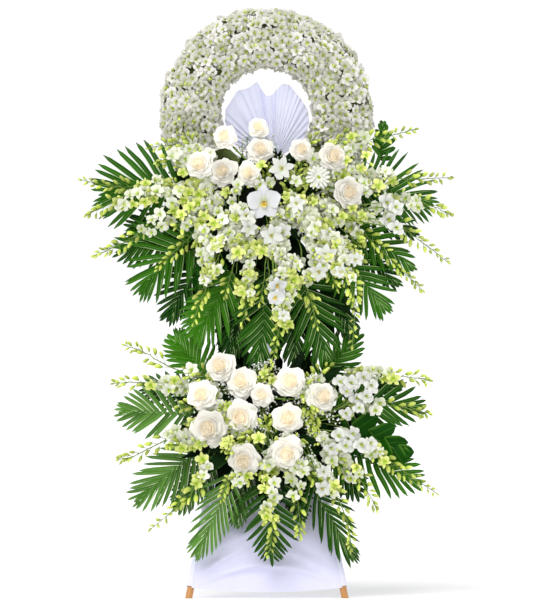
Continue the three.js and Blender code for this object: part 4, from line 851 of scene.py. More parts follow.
def clothGrid(name, settings, at, finish):
    cloth = addGrid(name, settings["columns"], settings["rows"])
    for corner in cloth.data.vertices:
        corner.co = at((corner.co.x + 1) / 2, (corner.co.y + 1) / 2)
    giveWall(cloth, settings["thickness"] * mm)
    giveFinish(cloth, finish)
    smooth(cloth, 60)
    return cloth


skirt = clothGrid("skirtCloth", skirtSettings, skirtAt, "skirtCloth")
finishPiece(skirt, "skirt")

# Gauze fan in the wreath's hole, on a pin that stands in the wreath's form
bowSettings = {
    "gather": (20, 1268), "y": -6, "neck": 9, "pleat": 2.5, "pleats": 25, "columns": 160, "rows": 30,
    "thickness": 0.5, "pin": [(1232, 3), (1262, 3), (1282, 5), (1290, 3)],
    "rim": [(-88, 1304), (-112, 1340), (-121, 1376), (-119, 1410), (-84, 1465), (-53, 1472), (-27, 1490),
            (-13, 1466), (-1, 1449), (16, 1452), (30, 1469), (48, 1484), (68, 1481), (88, 1454), (100, 1440),
            (119, 1412), (124, 1378), (117, 1340), (96, 1304)],
}


def bowAt(u, v):
    s = bowSettings
    rim = s["rim"]
    at = min(u * (len(rim) - 1), len(rim) - 1.0001)
    a, b = Vector(rim[int(at)]), Vector(rim[int(at) + 1])
    edge = a.lerp(b, at - int(at))
    x, z = s["gather"]
    foot = Vector((x + s["neck"] * (2 * u - 1), z))
    spot = foot.lerp(edge, v)
    wave = math.sin(math.tau * s["pleats"] * u + 1.2 * math.sin(9 * u))
    wave *= 0.8 + 1.2 * noise.noise(Vector((9 * u, 2 + v, 0)))
    ruffle = 1.5 * math.sin(31 * u + 4 * v) * v
    depth = s["pleat"] * min(1, v + 0.2) * wave * 0.8 + ruffle
    rise = -2.5 * v * v * abs(wave)
    return place(spot.x, s["y"] - depth, spot.y + rise)


bow = clothGrid("gauzeFan", bowSettings, bowAt, "gauze")
pinLine = [(place(bowSettings["gather"][0], bowSettings["y"], z), radius) for z, radius in bowSettings["pin"]]
bowPin = drawStems("gauzePin", [pinLine], 3, "gauze")
bow = joinAll("gauzeFan", [bow, bowPin])
finishPiece(bow, "bow")
print("cloth hung")


# Wreath
wreath = {
    "z": 1395, "segments": 5, "halfArc": 125.0, "spacing": 21.5, "florets": (15, 21), "lift": (2, 11),
    "innerRadius": 152, "innerSize": 0.85, "innerLift": (-6, 0), "frontward": 0.55, "stalkRoot": 14,
    "budShare": 0.5, "buds": (11, 15),
    "section": [(138, 30), (141, -22), (177, -51), (253, -51), (289, -22), (292, 30)],
    "tray": [(146, 38), (150, -15), (181, -41), (249, -41), (280, -15), (284, 38)],
}


def sectionPoint(distance):
    # a place on the wreath's rounded outer face and the way out of it, in radius and depth
    section = [Vector(p) for p in wreath["section"]]
    for a, b in zip(section, section[1:]):
        step = (b - a).length
        if distance <= step:
            out = Vector((b.y - a.y, a.x - b.x)).normalized()
            return a.lerp(b, distance / step), out
        distance -= step
    return section[-1], Vector((1, 0))


def wreathWay(angle, across):
    # across is a radius and a depth
    return Vector((across.x * math.sin(angle), across.y, across.x * math.cos(angle)))


def onWreath(angle, across):
    return place(*(wreathWay(angle, across) + Vector((0, 0, wreath["z"]))))


def wreathSpots(total, halfArc, dice):
    # shares of the arc and distances over the section, in staggered rows
    rows = round(total / wreath["spacing"])
    spots = []
    for row in range(rows):
        distance = total * (row + 0.5) / rows
        count = round(2 * halfArc * sectionPoint(distance)[0].x / wreath["spacing"])
        for k in range(count):
            share = (k + 0.5 * (row % 2) + dice.uniform(-0.25, 0.25)) / count
            spots.append((share, distance + dice.uniform(-6, 6)))
    return spots


def buildWreathFlowers():
    s = wreath
    dice = random.Random(5)
    halfArc = math.radians(s["halfArc"])
    total = sum((Vector(b) - Vector(a)).length for a, b in zip(s["section"], s["section"][1:]))
    spots = wreathSpots(total, halfArc, dice)
    for segment in range(s["segments"]):
        members, stalks = [], []
        for share, distance in spots:
            if int(min(max(share, 0), 0.9999) * s["segments"]) != segment:
                continue
            angle = halfArc * (2 * min(max(share, 0.006), 0.994) - 1)
            spot, out = sectionPoint(min(max(distance, 2), total - 2))
            inner = spot.x < s["innerRadius"]
            lift = dice.uniform(*(s["innerLift"] if inner else s["lift"]))
            centre = onWreath(angle, spot + out * lift)
            normal = wreathWay(angle, out) + front * s["frontward"]
            normal += Vector((dice.uniform(-0.8, 0.8), dice.uniform(-0.3, 0.3), dice.uniform(-0.8, 0.8)))
            size = dice.uniform(*s["florets"]) * (s["innerSize"] if inner else 1) * mm
            matrix = facing(centre, normal, size, dice.uniform(-0.9, 0.9))
            members.append(stamp(wreathFloret, matrix, dice.random()))
            stalks.append([(onWreath(angle, spot - out * s["stalkRoot"]), 1.0), (centre, 0.8)])
            if not inner and dice.random() < s["budShare"]:
                beside = angle + dice.uniform(-13, 13) / spot.x
                start = onWreath(beside, spot + out * 4 + Vector((0, dice.uniform(-4, 4))))
                way = wreathWay(beside, out)
                way += Vector((dice.uniform(-0.6, 0.6), 0, dice.uniform(-0.6, 0.6)))
                members.append(stamp(bud, facing(start, way, dice.uniform(*s["buds"]) * mm), dice.random()))
        members.append(drawStems("wreathStalks", stalks, 0, "flowerStem"))
        piece = joinAll("ringFlowers" + str(segment + 1), members)
        unevenly(piece, 0.003, 110)
        finishPiece(piece, "ring_flowers_" + str(segment + 1))


def buildRingForm():
    # the section is spun round the wreath's axis
    deselectAll()
    bpy.ops.mesh.primitive_circle_add(vertices=len(wreath["tray"]), radius=1)
    form = bpy.context.object
    form.name = "ringForm"
    for corner, (radius, depth) in zip(form.data.vertices, wreath["tray"]):
        corner.co = place(radius, depth, wreath["z"])
    editWhere(form, lambda co: True)
    middle = place(0, 0, wreath["z"])
    bpy.ops.mesh.spin(steps=96, angle=math.tau, center=middle, axis=(0, 1, 0))
    bpy.ops.mesh.select_all(action="SELECT")
    bpy.ops.mesh.remove_doubles(threshold=0.0001)
    bpy.ops.mesh.normals_make_consistent(inside=False)
    bpy.ops.object.mode_set(mode="OBJECT")
    edge = form.modifiers.new("edge", "BEVEL")
    edge.width = 0.004
    edge.segments = 2
    edge.limit_method = "ANGLE"
    edge.angle_limit = math.radians(25)
    applyModifiers(form)
    giveFinish(form, "ringForm")
    smooth(form, 40)
    finishPiece(form, "ring_form")


buildRingForm()
buildWreathFlowers()
print("wreath built")


# The surface that the fronds of a spray lie in leans back with the stand and curls back at the sides
upper = {"y": -75, "z": 1135, "halfX": 120, "foamZ": (1030, 1240)}
lower = {"y": -165, "z": 510, "halfX": 110, "foamZ": (430, 590)}


def surfaceY(tier, x, z):
    return tier["y"] + stand["lean"] * (z - tier["z"]) + 0.0002 * x * x


def inFrontOf(tier, x, z, distance):
    return place(x, surfaceY(tier, x, z) - distance, z)


# Fronds: side of the foam and the place on it, the rib's route, where its leaflets begin, pairs of
# leaflets, their reach and the layer, as in the solids
upperFronds = {
    "frond_upper_left_1": ("left", 1180, [(-245, 1188), (-340, 1182), (-440, 1166)], 0.36, 11, 165, 0),
    "frond_upper_left_2": ("left", 1110, [(-200, 1072), (-300, 1035), (-410, 1000)], 0.3, 10, 115, 10),
    "frond_upper_left_3": ("left", 1062, [(-200, 1040), (-280, 985), (-345, 900)], 0.3, 10, 135, 20),
    "frond_upper_down_left": ("bottom", -85, [(-105, 930), (-150, 840), (-195, 770)], 0.3, 10, 120, 10),
    "frond_upper_down_centre": ("bottom", -15, [(-8, 930), (-12, 800), (-20, 690)], 0.3, 10, 110, 20),
    "frond_upper_down_right": ("bottom", 60, [(88, 940), (130, 830), (165, 700)], 0.3, 10, 125, 0),
    "frond_upper_right_3": ("right", 1062, [(190, 1020), (262, 930), (325, 840)], 0.34, 10, 115, 10),
    "frond_upper_right_2": ("right", 1115, [(215, 1090), (310, 1030), (405, 955)], 0.34, 10, 95, 20),
    "frond_upper_right_1": ("right", 1165, [(245, 1170), (340, 1175), (450, 1140)], 0.36, 10, 138, 10),
    "frond_upper_right_0": (
        "right", 1215, [(215, 1192), (300, 1222), (338, 1290), (340, 1365)], 0.66, 6, 45, 0),
}
lowerFronds = {
    "frond_lower_left_1": ("left", 575, [(-165, 632), (-215, 690), (-255, 735)], 0.3, 9, 90, 20),
    "frond_lower_left_2": ("left", 530, [(-200, 528), (-310, 533), (-400, 530)], 0.3, 10, 105, 10),
    "frond_lower_left_3": ("left", 470, [(-180, 430), (-270, 360), (-355, 295)], 0.3, 10, 120, 0),
    "frond_lower_down_left": ("bottom", -80, [(-105, 350), (-150, 235), (-195, 145)], 0.3, 10, 105, 10),
    "frond_lower_down_centre": ("bottom", 5, [(10, 340), (15, 220), (16, 125)], 0.3, 10, 122, 20),
    "frond_lower_down_right": ("bottom", 85, [(120, 350), (180, 235), (235, 130)], 0.3, 10, 115, 0),
    "frond_lower_right_3": ("right", 470, [(200, 440), (310, 385), (420, 335)], 0.3, 10, 115, 10),
    "frond_lower_right_2": ("right", 530, [(200, 545), (310, 558), (425, 545)], 0.3, 10, 118, 20),
    "frond_lower_right_1": ("right", 575, [(160, 625), (205, 680), (255, 745)], 0.3, 9, 85, 10),
}
# a second layer of fronds behind, each with the piece it is bunched with; their leaflets get a lower tone,
# painted shade
fillFronds = {
    "frond_upper_left_2": [("left", 1090, [(-205, 1080), (-300, 1070), (-385, 1062)], 0.3, 8, 95, -14)],
    "frond_upper_left_3": [("left", 1045, [(-165, 985), (-225, 905), (-275, 815)], 0.3, 9, 105, -12)],
    "frond_upper_down_left": [("bottom", -60, [(-62, 930), (-85, 810), (-105, 705)], 0.2, 10, 105, -14)],
    "frond_upper_down_centre": [("bottom", 25, [(45, 930), (70, 810), (78, 690)], 0.2, 10, 105, -14)],
    "frond_upper_down_right": [("bottom", 95, [(125, 945), (195, 860), (238, 770)], 0.2, 9, 95, -26)],
    "frond_upper_right_3": [("right", 1090, [(190, 1050), (280, 985), (370, 905)], 0.3, 8, 90, -12)],
    "frond_upper_right_2": [("right", 1140, [(220, 1135), (320, 1100), (415, 1050)], 0.3, 8, 90, -14)],
    "frond_lower_left_2": [("left", 550, [(-190, 565), (-270, 590), (-340, 600)], 0.3, 8, 80, -14)],
    "frond_lower_left_3": [("left", 450, [(-160, 400), (-208, 330), (-245, 270)], 0.3, 9, 85, -14)],
    "frond_lower_down_left": [("bottom", -40, [(-52, 350), (-75, 280), (-85, 225)], 0.2, 8, 75, -14)],
    "frond_lower_down_centre": [("bottom", 45, [(65, 350), (88, 285), (100, 225)], 0.2, 8, 75, -14)],
    "frond_lower_right_3": [("right", 450, [(170, 405), (222, 352), (262, 300)], 0.3, 7, 75, -14)],
    "frond_lower_right_2": [("right", 550, [(200, 575), (300, 590), (375, 610)], 0.3, 8, 75, -14)],
}
outOf = {"left": Vector((-1, 0, 0)), "right": Vector((1, 0, 0)), "bottom": Vector((0, 0, -1)),
         "top": Vector((0, 0, 1)), "front": front}
frondSettings = {
    "halfWidth": 8.1, "below": 1.12, "open": 68, "close": 14, "ribRadius": 2.9, "droop": 0.03, "taper": 0}
# how single fronds differ: more leaflets, tone, their angles at the foot and the tip, shorter to the tip
frondLooks = {
    "frond_upper_left_2": {"dense": 1.2, "tone": 0.3},
    "frond_upper_left_3": {"dense": 1.2, "tone": 0.5},
    "frond_upper_down_left": {"dense": 1.5, "tone": 0.75, "open": 56},
    "frond_upper_down_centre": {"dense": 1.2, "tone": 0.25},
    "frond_upper_down_right": {"dense": 1.2, "tone": 0.25},
    "frond_upper_right_3": {"dense": 1.2, "tone": 0.5},
    "frond_upper_right_1": {"dense": 1.5, "tone": 0.4},
    "frond_lower_left_1": {"dense": 1.3, "tone": 1.0},
    "frond_lower_left_2": {"dense": 1.25, "tone": 0.4, "blade": paleLeaflet},
    "frond_lower_left_3": {"dense": 1.4, "tone": 0.3, "blade": paleLeaflet, "open": 54, "close": 10},
    "frond_lower_down_left": {
        "dense": 1.3, "tone": 0.4, "blade": paleLeaflet, "open": 44, "close": 8, "halfWidth": 5.4},
    "frond_lower_down_centre": {
        "dense": 1.3, "tone": 0.15, "open": 62, "close": 34, "taper": 0.4, "halfWidth": 6.6},
    "frond_lower_down_right": {"dense": 1.3, "tone": 0.2, "open": 46, "close": 8, "halfWidth": 5.6},
    "frond_lower_right_1": {"dense": 1.1, "tone": 0.5},
}


def frondRoute(tier, face, at, route, layer):
    sideways = face in ("left", "right")
    x = (-1 if face == "left" else 1) * tier["halfX"] if sideways else at
    z = at if sideways else tier["foamZ"][0]
    root = inFrontOf(tier, x, z, layer)
    inside = root - outOf[face] * 0.021
    return inside, [root + outOf[face] * 0.006] + [inFrontOf(tier, px, pz, layer) for px, pz in route]


def frondMembers(tier, spec, dice, look):
    face, at, route, leafFrom, pairs, reach, layer = spec
    wide, narrow = look["open"], look["close"]
    inside, points = frondRoute(tier, face, at, route, layer)
    steps = 16
    rib = [(inside, look["ribRadius"])]
    for k in range(steps + 1):
        t = k / steps
        rib.append((routePoint(points, t), look["ribRadius"] * (1 - 0.72 * t)))
    members = [drawStems("rib", [rib], 2, "palmRib")]
    # fronds behind, with a negative layer, get a low tone: painted shade, darker as they lie deeper
    tone = look["tone"] if layer >= 0 else dice.uniform(-0.1, 0.15)
    pairs = round(pairs * look["dense"])
    for k in range(pairs):
        for sign in (-1, 1):
            share = (k + 0.5 + 0.18 * sign) / pairs
            t = leafFrom + (1 - leafFrom) * share * 0.99
            foot = routePoint(points, t)
            along = routeWay(points, t)
            flat = Vector((along.x, 0, along.z)).normalized()
            aside = Vector((-flat.z, 0, flat.x)) * sign
            angle = math.radians(wide + (narrow - wide) * share + dice.uniform(-5, 5))
            away = flat * math.cos(angle) + aside * math.sin(angle)
            length = reach * (0.78 + 0.9 * share - 1.3 * share * share) * dice.uniform(0.95, 1.05)
            length *= 1 - look["taper"] * share
            x = (foot.x - centring.x) / mm + away.x * length
            z = (foot.z - centring.z) / mm + away.z * length
            tip = inFrontOf(tier, x, z, layer - look["droop"] * length + dice.uniform(-3, 3))
            up = front + aside * dice.uniform(-0.1, 0.3) + flat * dice.uniform(-0.15, 0.15)
            width = look["halfWidth"] * dice.uniform(0.92, 1.08) * (1 - 0.3 * share ** 3)
            width *= (look["below"] if face == "bottom" else 1) / look["dense"] ** 0.7
            matrix = laid(foot, tip - foot, up, width * mm, (tip - foot).length)
            members.append(stamp(look["blade"], matrix, tone + dice.uniform(-0.18, 0.18)))
    end = routePoint(points, 1)
    way = routeWay(points, 1)
    matrix = laid(end - way * 0.01, way, front, look["halfWidth"] * 0.8 * mm, reach * 0.34 * mm)
    members.append(stamp(look["blade"], matrix, tone))
    return members


def buildFrond(node, tier, specs, seed, look):
    dice = random.Random(seed)
    look = {"dense": 1.0, "tone": dice.uniform(0.3, 0.6), **look, **frondLooks.get(node, {})}
    members = []
    for spec in specs:
        members += frondMembers(tier, spec, dice, look)
    piece = joinAll(pieceName(node), members)
    unevenly(piece, 0.005, 14, frondRoute(tier, *specs[0][:3], specs[0][6])[0])
    finishPiece(piece, node)


def buildFronds():
    seed = 40
    look = {**frondSettings, "blade": leaflet}
    for tier, table in ((upper, upperFronds), (lower, lowerFronds)):
        for node, spec in table.items():
            buildFrond(node, tier, [spec] + fillFronds.get(node, []), seed, look)
            seed += 1
    broad = {**frondSettings, "blade": broadLeaf, "halfWidth": 15, "open": 66, "close": 19}
    lobed = {**frondSettings, "blade": lobe, "halfWidth": 26, "open": 60, "close": 20, "tone": 0.6}
    upperLeaf = ("bottom", -50, [(-95, 985), (-160, 955), (-205, 900)], 0.4, 4, 52, 32)
    lowerLeaf = ("right", 502, [(200, 492), (300, 462), (395, 412)], 0.42, 4, 84, 33)
    buildFrond("leaf_lobed_upper", upper, [upperLeaf], 71, broad)
    buildFrond("leaf_lobed_lower", lower, [lowerLeaf], 72, lobed)


# Leaves coloured almost black as painted shade, round the foam and over its front, between the flowers. Each
# broad one has its place, length and width. The others are spread over arcs of angles, in degrees.
fillSettings = {
    "fillLeavesUpper": {
        "tier": upper, "node": "leaf_lobed_upper", "middle": (5, 1130), "seed": 81, "edge": (-205, 25),
        "short": (25, 155), "broad": [
            (-95, 1010, 190, 34), (-60, 985, 200, 36), (-20, 975, 210, 34), (20, 975, 215, 34),
            (60, 985, 205, 36), (100, 1005, 190, 34), (-125, 1040, 180, 32), (130, 1040, 180, 32),
            (-120, 890, 150, 32), (-84, 868, 165, 34), (-48, 852, 170, 34), (-14, 848, 165, 34),
            (22, 850, 160, 34), (56, 858, 165, 34), (90, 870, 165, 34), (124, 890, 155, 34),
            (158, 915, 150, 32), (-152, 925, 140, 30), (150, 1140, 170, 34), (145, 1178, 150, 30),
            (-145, 1140, 170, 34), (-140, 1178, 150, 30), (150, 1085, 170, 32), (-150, 1085, 170, 32)]},
    "fillLeavesLower": {
        "tier": lower, "node": "leaf_lobed_lower", "middle": (5, 505), "seed": 82, "edge": (-200, 200),
        "short": (20, 160), "broad": [
            (-90, 420, 150, 30), (-40, 400, 130, 30), (0, 395, 140, 30), (50, 400, 130, 30),
            (95, 415, 150, 30), (-115, 470, 150, 28), (120, 465, 160, 28), (-100, 590, 120, 28),
            (-45, 610, 110, 28), (15, 615, 105, 28), (70, 600, 115, 28), (125, 560, 130, 28),
            (-105, 455, 120, 30), (-95, 435, 130, 30), (-110, 500, 130, 30), (120, 512, 190, 34),
            (118, 478, 190, 34), (105, 440, 140, 30), (-70, 405, 130, 30), (75, 405, 140, 30)]},
}
leafSizes = {
    "edge": {"count": 44, "from": (0.75, 1.0), "length": (90, 175), "width": (15, 22), "ahead": (26, 56),
             "rise": (-14, 14)},
    "front": {"count": 70, "length": (46, 74), "width": (10, 15), "ahead": (68, 80), "rise": (4, 18)},
    "short": {"count": 16, "from": 0.95, "length": (30, 60), "width": (9, 13), "ahead": (50, 80), "rise": 8},
}


def drawn(dice, span):
    return dice.uniform(*span) if isinstance(span, tuple) else span


def edgeOf(tier, direction, spread):
    # where a line from the foam's middle leaves its front
    low, high = tier["foamZ"]
    reachX = tier["halfX"] / max(abs(direction.x), 1e-3)
    reachZ = (high - low) / 2 / max(abs(direction.y), 1e-3)
    return Vector((0, (low + high) / 2)) + direction * min(reachX, reachZ) * spread


def buildFillLeaves(name):
    s = fillSettings[name]
    tier, dice = s["tier"], random.Random(s["seed"])
    low, high = tier["foamZ"]
    middle = Vector(s["middle"])
    members, stalks = [], []

    def leafAt(spot, direction, length, width, ahead, rise):
        root = inFrontOf(tier, spot.x, spot.y, ahead)
        end = spot + direction * length
        tip = inFrontOf(tier, end.x, end.y, ahead + rise)
        face = front + Vector((dice.uniform(-0.4, 0.4), 0, dice.uniform(-0.3, 0.5)))
        matrix = laid(root, tip - root, face, width * mm, (tip - root).length)
        members.append(stamp(fillLeaf, matrix, dice.random()))

    for x, z, length, width in s["broad"]:
        spot = Vector((x, z))
        direction = (spot - middle).normalized()
        ahead = dice.uniform(-34, -20)
        leafAt(spot, direction, length, width, ahead, dice.uniform(-10, 4))
        near = edgeOf(tier, direction, 0.9)
        stalks.append([(inFrontOf(tier, near.x, near.y, 0), 2.2), (inFrontOf(tier, x, z, ahead), 1.8)])
    for kind, sizes in leafSizes.items():
        for k in range(sizes["count"]):
            if kind == "front":
                spot = Vector((dice.uniform(-tier["halfX"], tier["halfX"]), dice.uniform(low + 5, high - 5)))
                direction = (spot - middle) / 60 + Vector((dice.uniform(-1, 1), dice.uniform(-1, 0.8)))
                direction.normalize()
            else:
                angle = math.radians(dice.uniform(*s[kind]))
                direction = Vector((math.cos(angle), math.sin(angle)))
                spot = edgeOf(tier, direction, drawn(dice, sizes["from"]))
            own = [drawn(dice, sizes[key]) for key in ("length", "width", "ahead", "rise")]
            leafAt(spot, direction, *own)
    members.append(drawStems("leafStalks", stalks, 1, "palmRib"))
    piece = joinAll(name, members)
    finishPiece(piece, s["node"])


buildFronds()
for name in fillSettings:
    buildFillLeaves(name)
print("fronds built")


# Orchid sprays: side of the foam and the place on it, then for each spray its route, how far it
# keeps in front of the fronds, and the shares of it where florets and buds stand
orchidBunches = {
    "orchids_upper_left": (upper, "left", (-120, -115, 1155), [
        ([(-190, 1172), (-280, 1187), (-365, 1181), (-450, 1184), (-543, 1203)],
         (55, 55), (0.05, 0.62), (0.6, 0.99)),
        ([(-190, 1150), (-305, 1155), (-410, 1145), (-480, 1120), (-522, 1100)],
         (60, 60), (0.05, 0.66), (0.62, 0.99)),
        ([(-180, 1125), (-300, 1086), (-420, 1016), (-502, 982)], (55, 55), (0.08, 0.62), (0.6, 0.99)),
        ([(-165, 1095), (-245, 1014), (-320, 940)], (60, 60), (0.08, 0.5), (0.5, 0.99)),
        ([(-180, 1215), (-245, 1300), (-345, 1293)], (62, 105), (0.1, 0.62), (0.55, 0.99)),
        ([(-180, 1200), (-255, 1262), (-320, 1250)], (62, 95), (0.1, 0.75), (0.7, 0.99)),
    ]),
    "orchids_upper_right": (upper, "right", (120, -115, 1155), [
        ([(180, 1220), (240, 1300), (340, 1325), (435, 1350)], (62, 108), (0.1, 0.62), (0.55, 0.99)),
        ([(215, 1200), (325, 1212), (415, 1205), (542, 1210)], (62, 62), (0.05, 0.62), (0.66, 0.99)),
        ([(200, 1172), (270, 1178), (385, 1152), (485, 1123), (536, 1100)],
         (55, 55), (0.05, 0.72), (0.7, 0.99)),
        ([(200, 1135), (350, 1092), (440, 1028), (527, 962)], (60, 60), (0.05, 0.5), (0.55, 0.99)),
        ([(180, 1110), (262, 1060), (368, 962), (453, 879)], (55, 55), (0.05, 0.55), (0.5, 0.99)),
    ]),
    "orchids_upper_down_left": (upper, "front", (-75, -140, 1055), [
        ([(-135, 1010), (-165, 905), (-190, 855), (-212, 783)], (78, 78), (0.02, 0.5), (0.5, 0.99)),
        ([(-65, 985), (-52, 900), (-57, 850), (-71, 776)], (78, 78), (0.02, 0.55), (0.55, 0.99)),
        ([(-105, 1085), (-115, 1130), (-100, 1178)], (80, 92), (0.1, 1), None),
    ]),
    "orchids_upper_down_centre": (upper, "front", (10, -140, 1055), [
        ([(25, 1000), (42, 900), (40, 800), (11, 656)], (80, 80), (0.02, 0.62), (0.6, 0.99)),
        ([(34, 1075), (52, 1110), (48, 1150)], (80, 92), (0.1, 1), None),
    ]),
    "orchids_upper_down_right": (upper, "front", (85, -140, 1055), [
        ([(100, 990), (114, 899), (128, 850), (147, 770)], (78, 78), (0.02, 0.5), (0.5, 0.99)),
        ([(160, 1010), (232, 913), (253, 855), (246, 713)], (78, 78), (0.02, 0.5), (0.5, 0.99)),
        ([(90, 1095), (112, 1120), (122, 1148)], (84, 92), (0.1, 1), None),
    ]),
    "orchids_lower_left": (lower, "left", (-110, -215, 510), [
        ([(-180, 620), (-290, 668), (-360, 708), (-411, 725)], (60, 60), (0.3, 0.35), (0.45, 0.99)),
        ([(-185, 580), (-280, 612), (-390, 617), (-443, 615)], (55, 55), (0.3, 0.62), (0.55, 0.99)),
        ([(-190, 500), (-264, 467), (-378, 409), (-426, 396)], (60, 60), (0.25, 0.55), (0.5, 0.99)),
        ([(-165, 420), (-200, 323), (-250, 270), (-336, 195)], (55, 55), (0.25, 0.5), (0.45, 0.99)),
    ]),
    "orchids_lower_right": (lower, "right", (110, -215, 510), [
        ([(180, 620), (250, 640), (340, 639), (428, 631), (472, 622)], (60, 60), (0.3, 0.66), (0.62, 0.99)),
        ([(190, 540), (325, 553), (428, 539), (470, 527)], (55, 55), (0.3, 0.5), (0.5, 0.99)),
        ([(200, 460), (325, 409), (413, 351), (492, 298)], (60, 60), (0.25, 0.55), (0.5, 0.99)),
        ([(180, 425), (262, 351), (296, 294), (317, 253)], (55, 55), (0.25, 0.5), (0.4, 0.99)),
    ]),
    "orchids_lower_down": (lower, "bottom", (40, -222, 430), [
        ([(130, 370), (195, 305), (236, 200), (240, 137)], (58, 58), (0.1, 0.5), (0.4, 0.99)),
        ([(72, 366), (95, 225), (96, 175)], (62, 62), (0.1, 0.5), (0.4, 0.99)),
        ([(12, 370), (8, 279), (16, 195), (4, 123)], (58, 58), (0.1, 0.66), (0.55, 0.99)),
    ]),
}
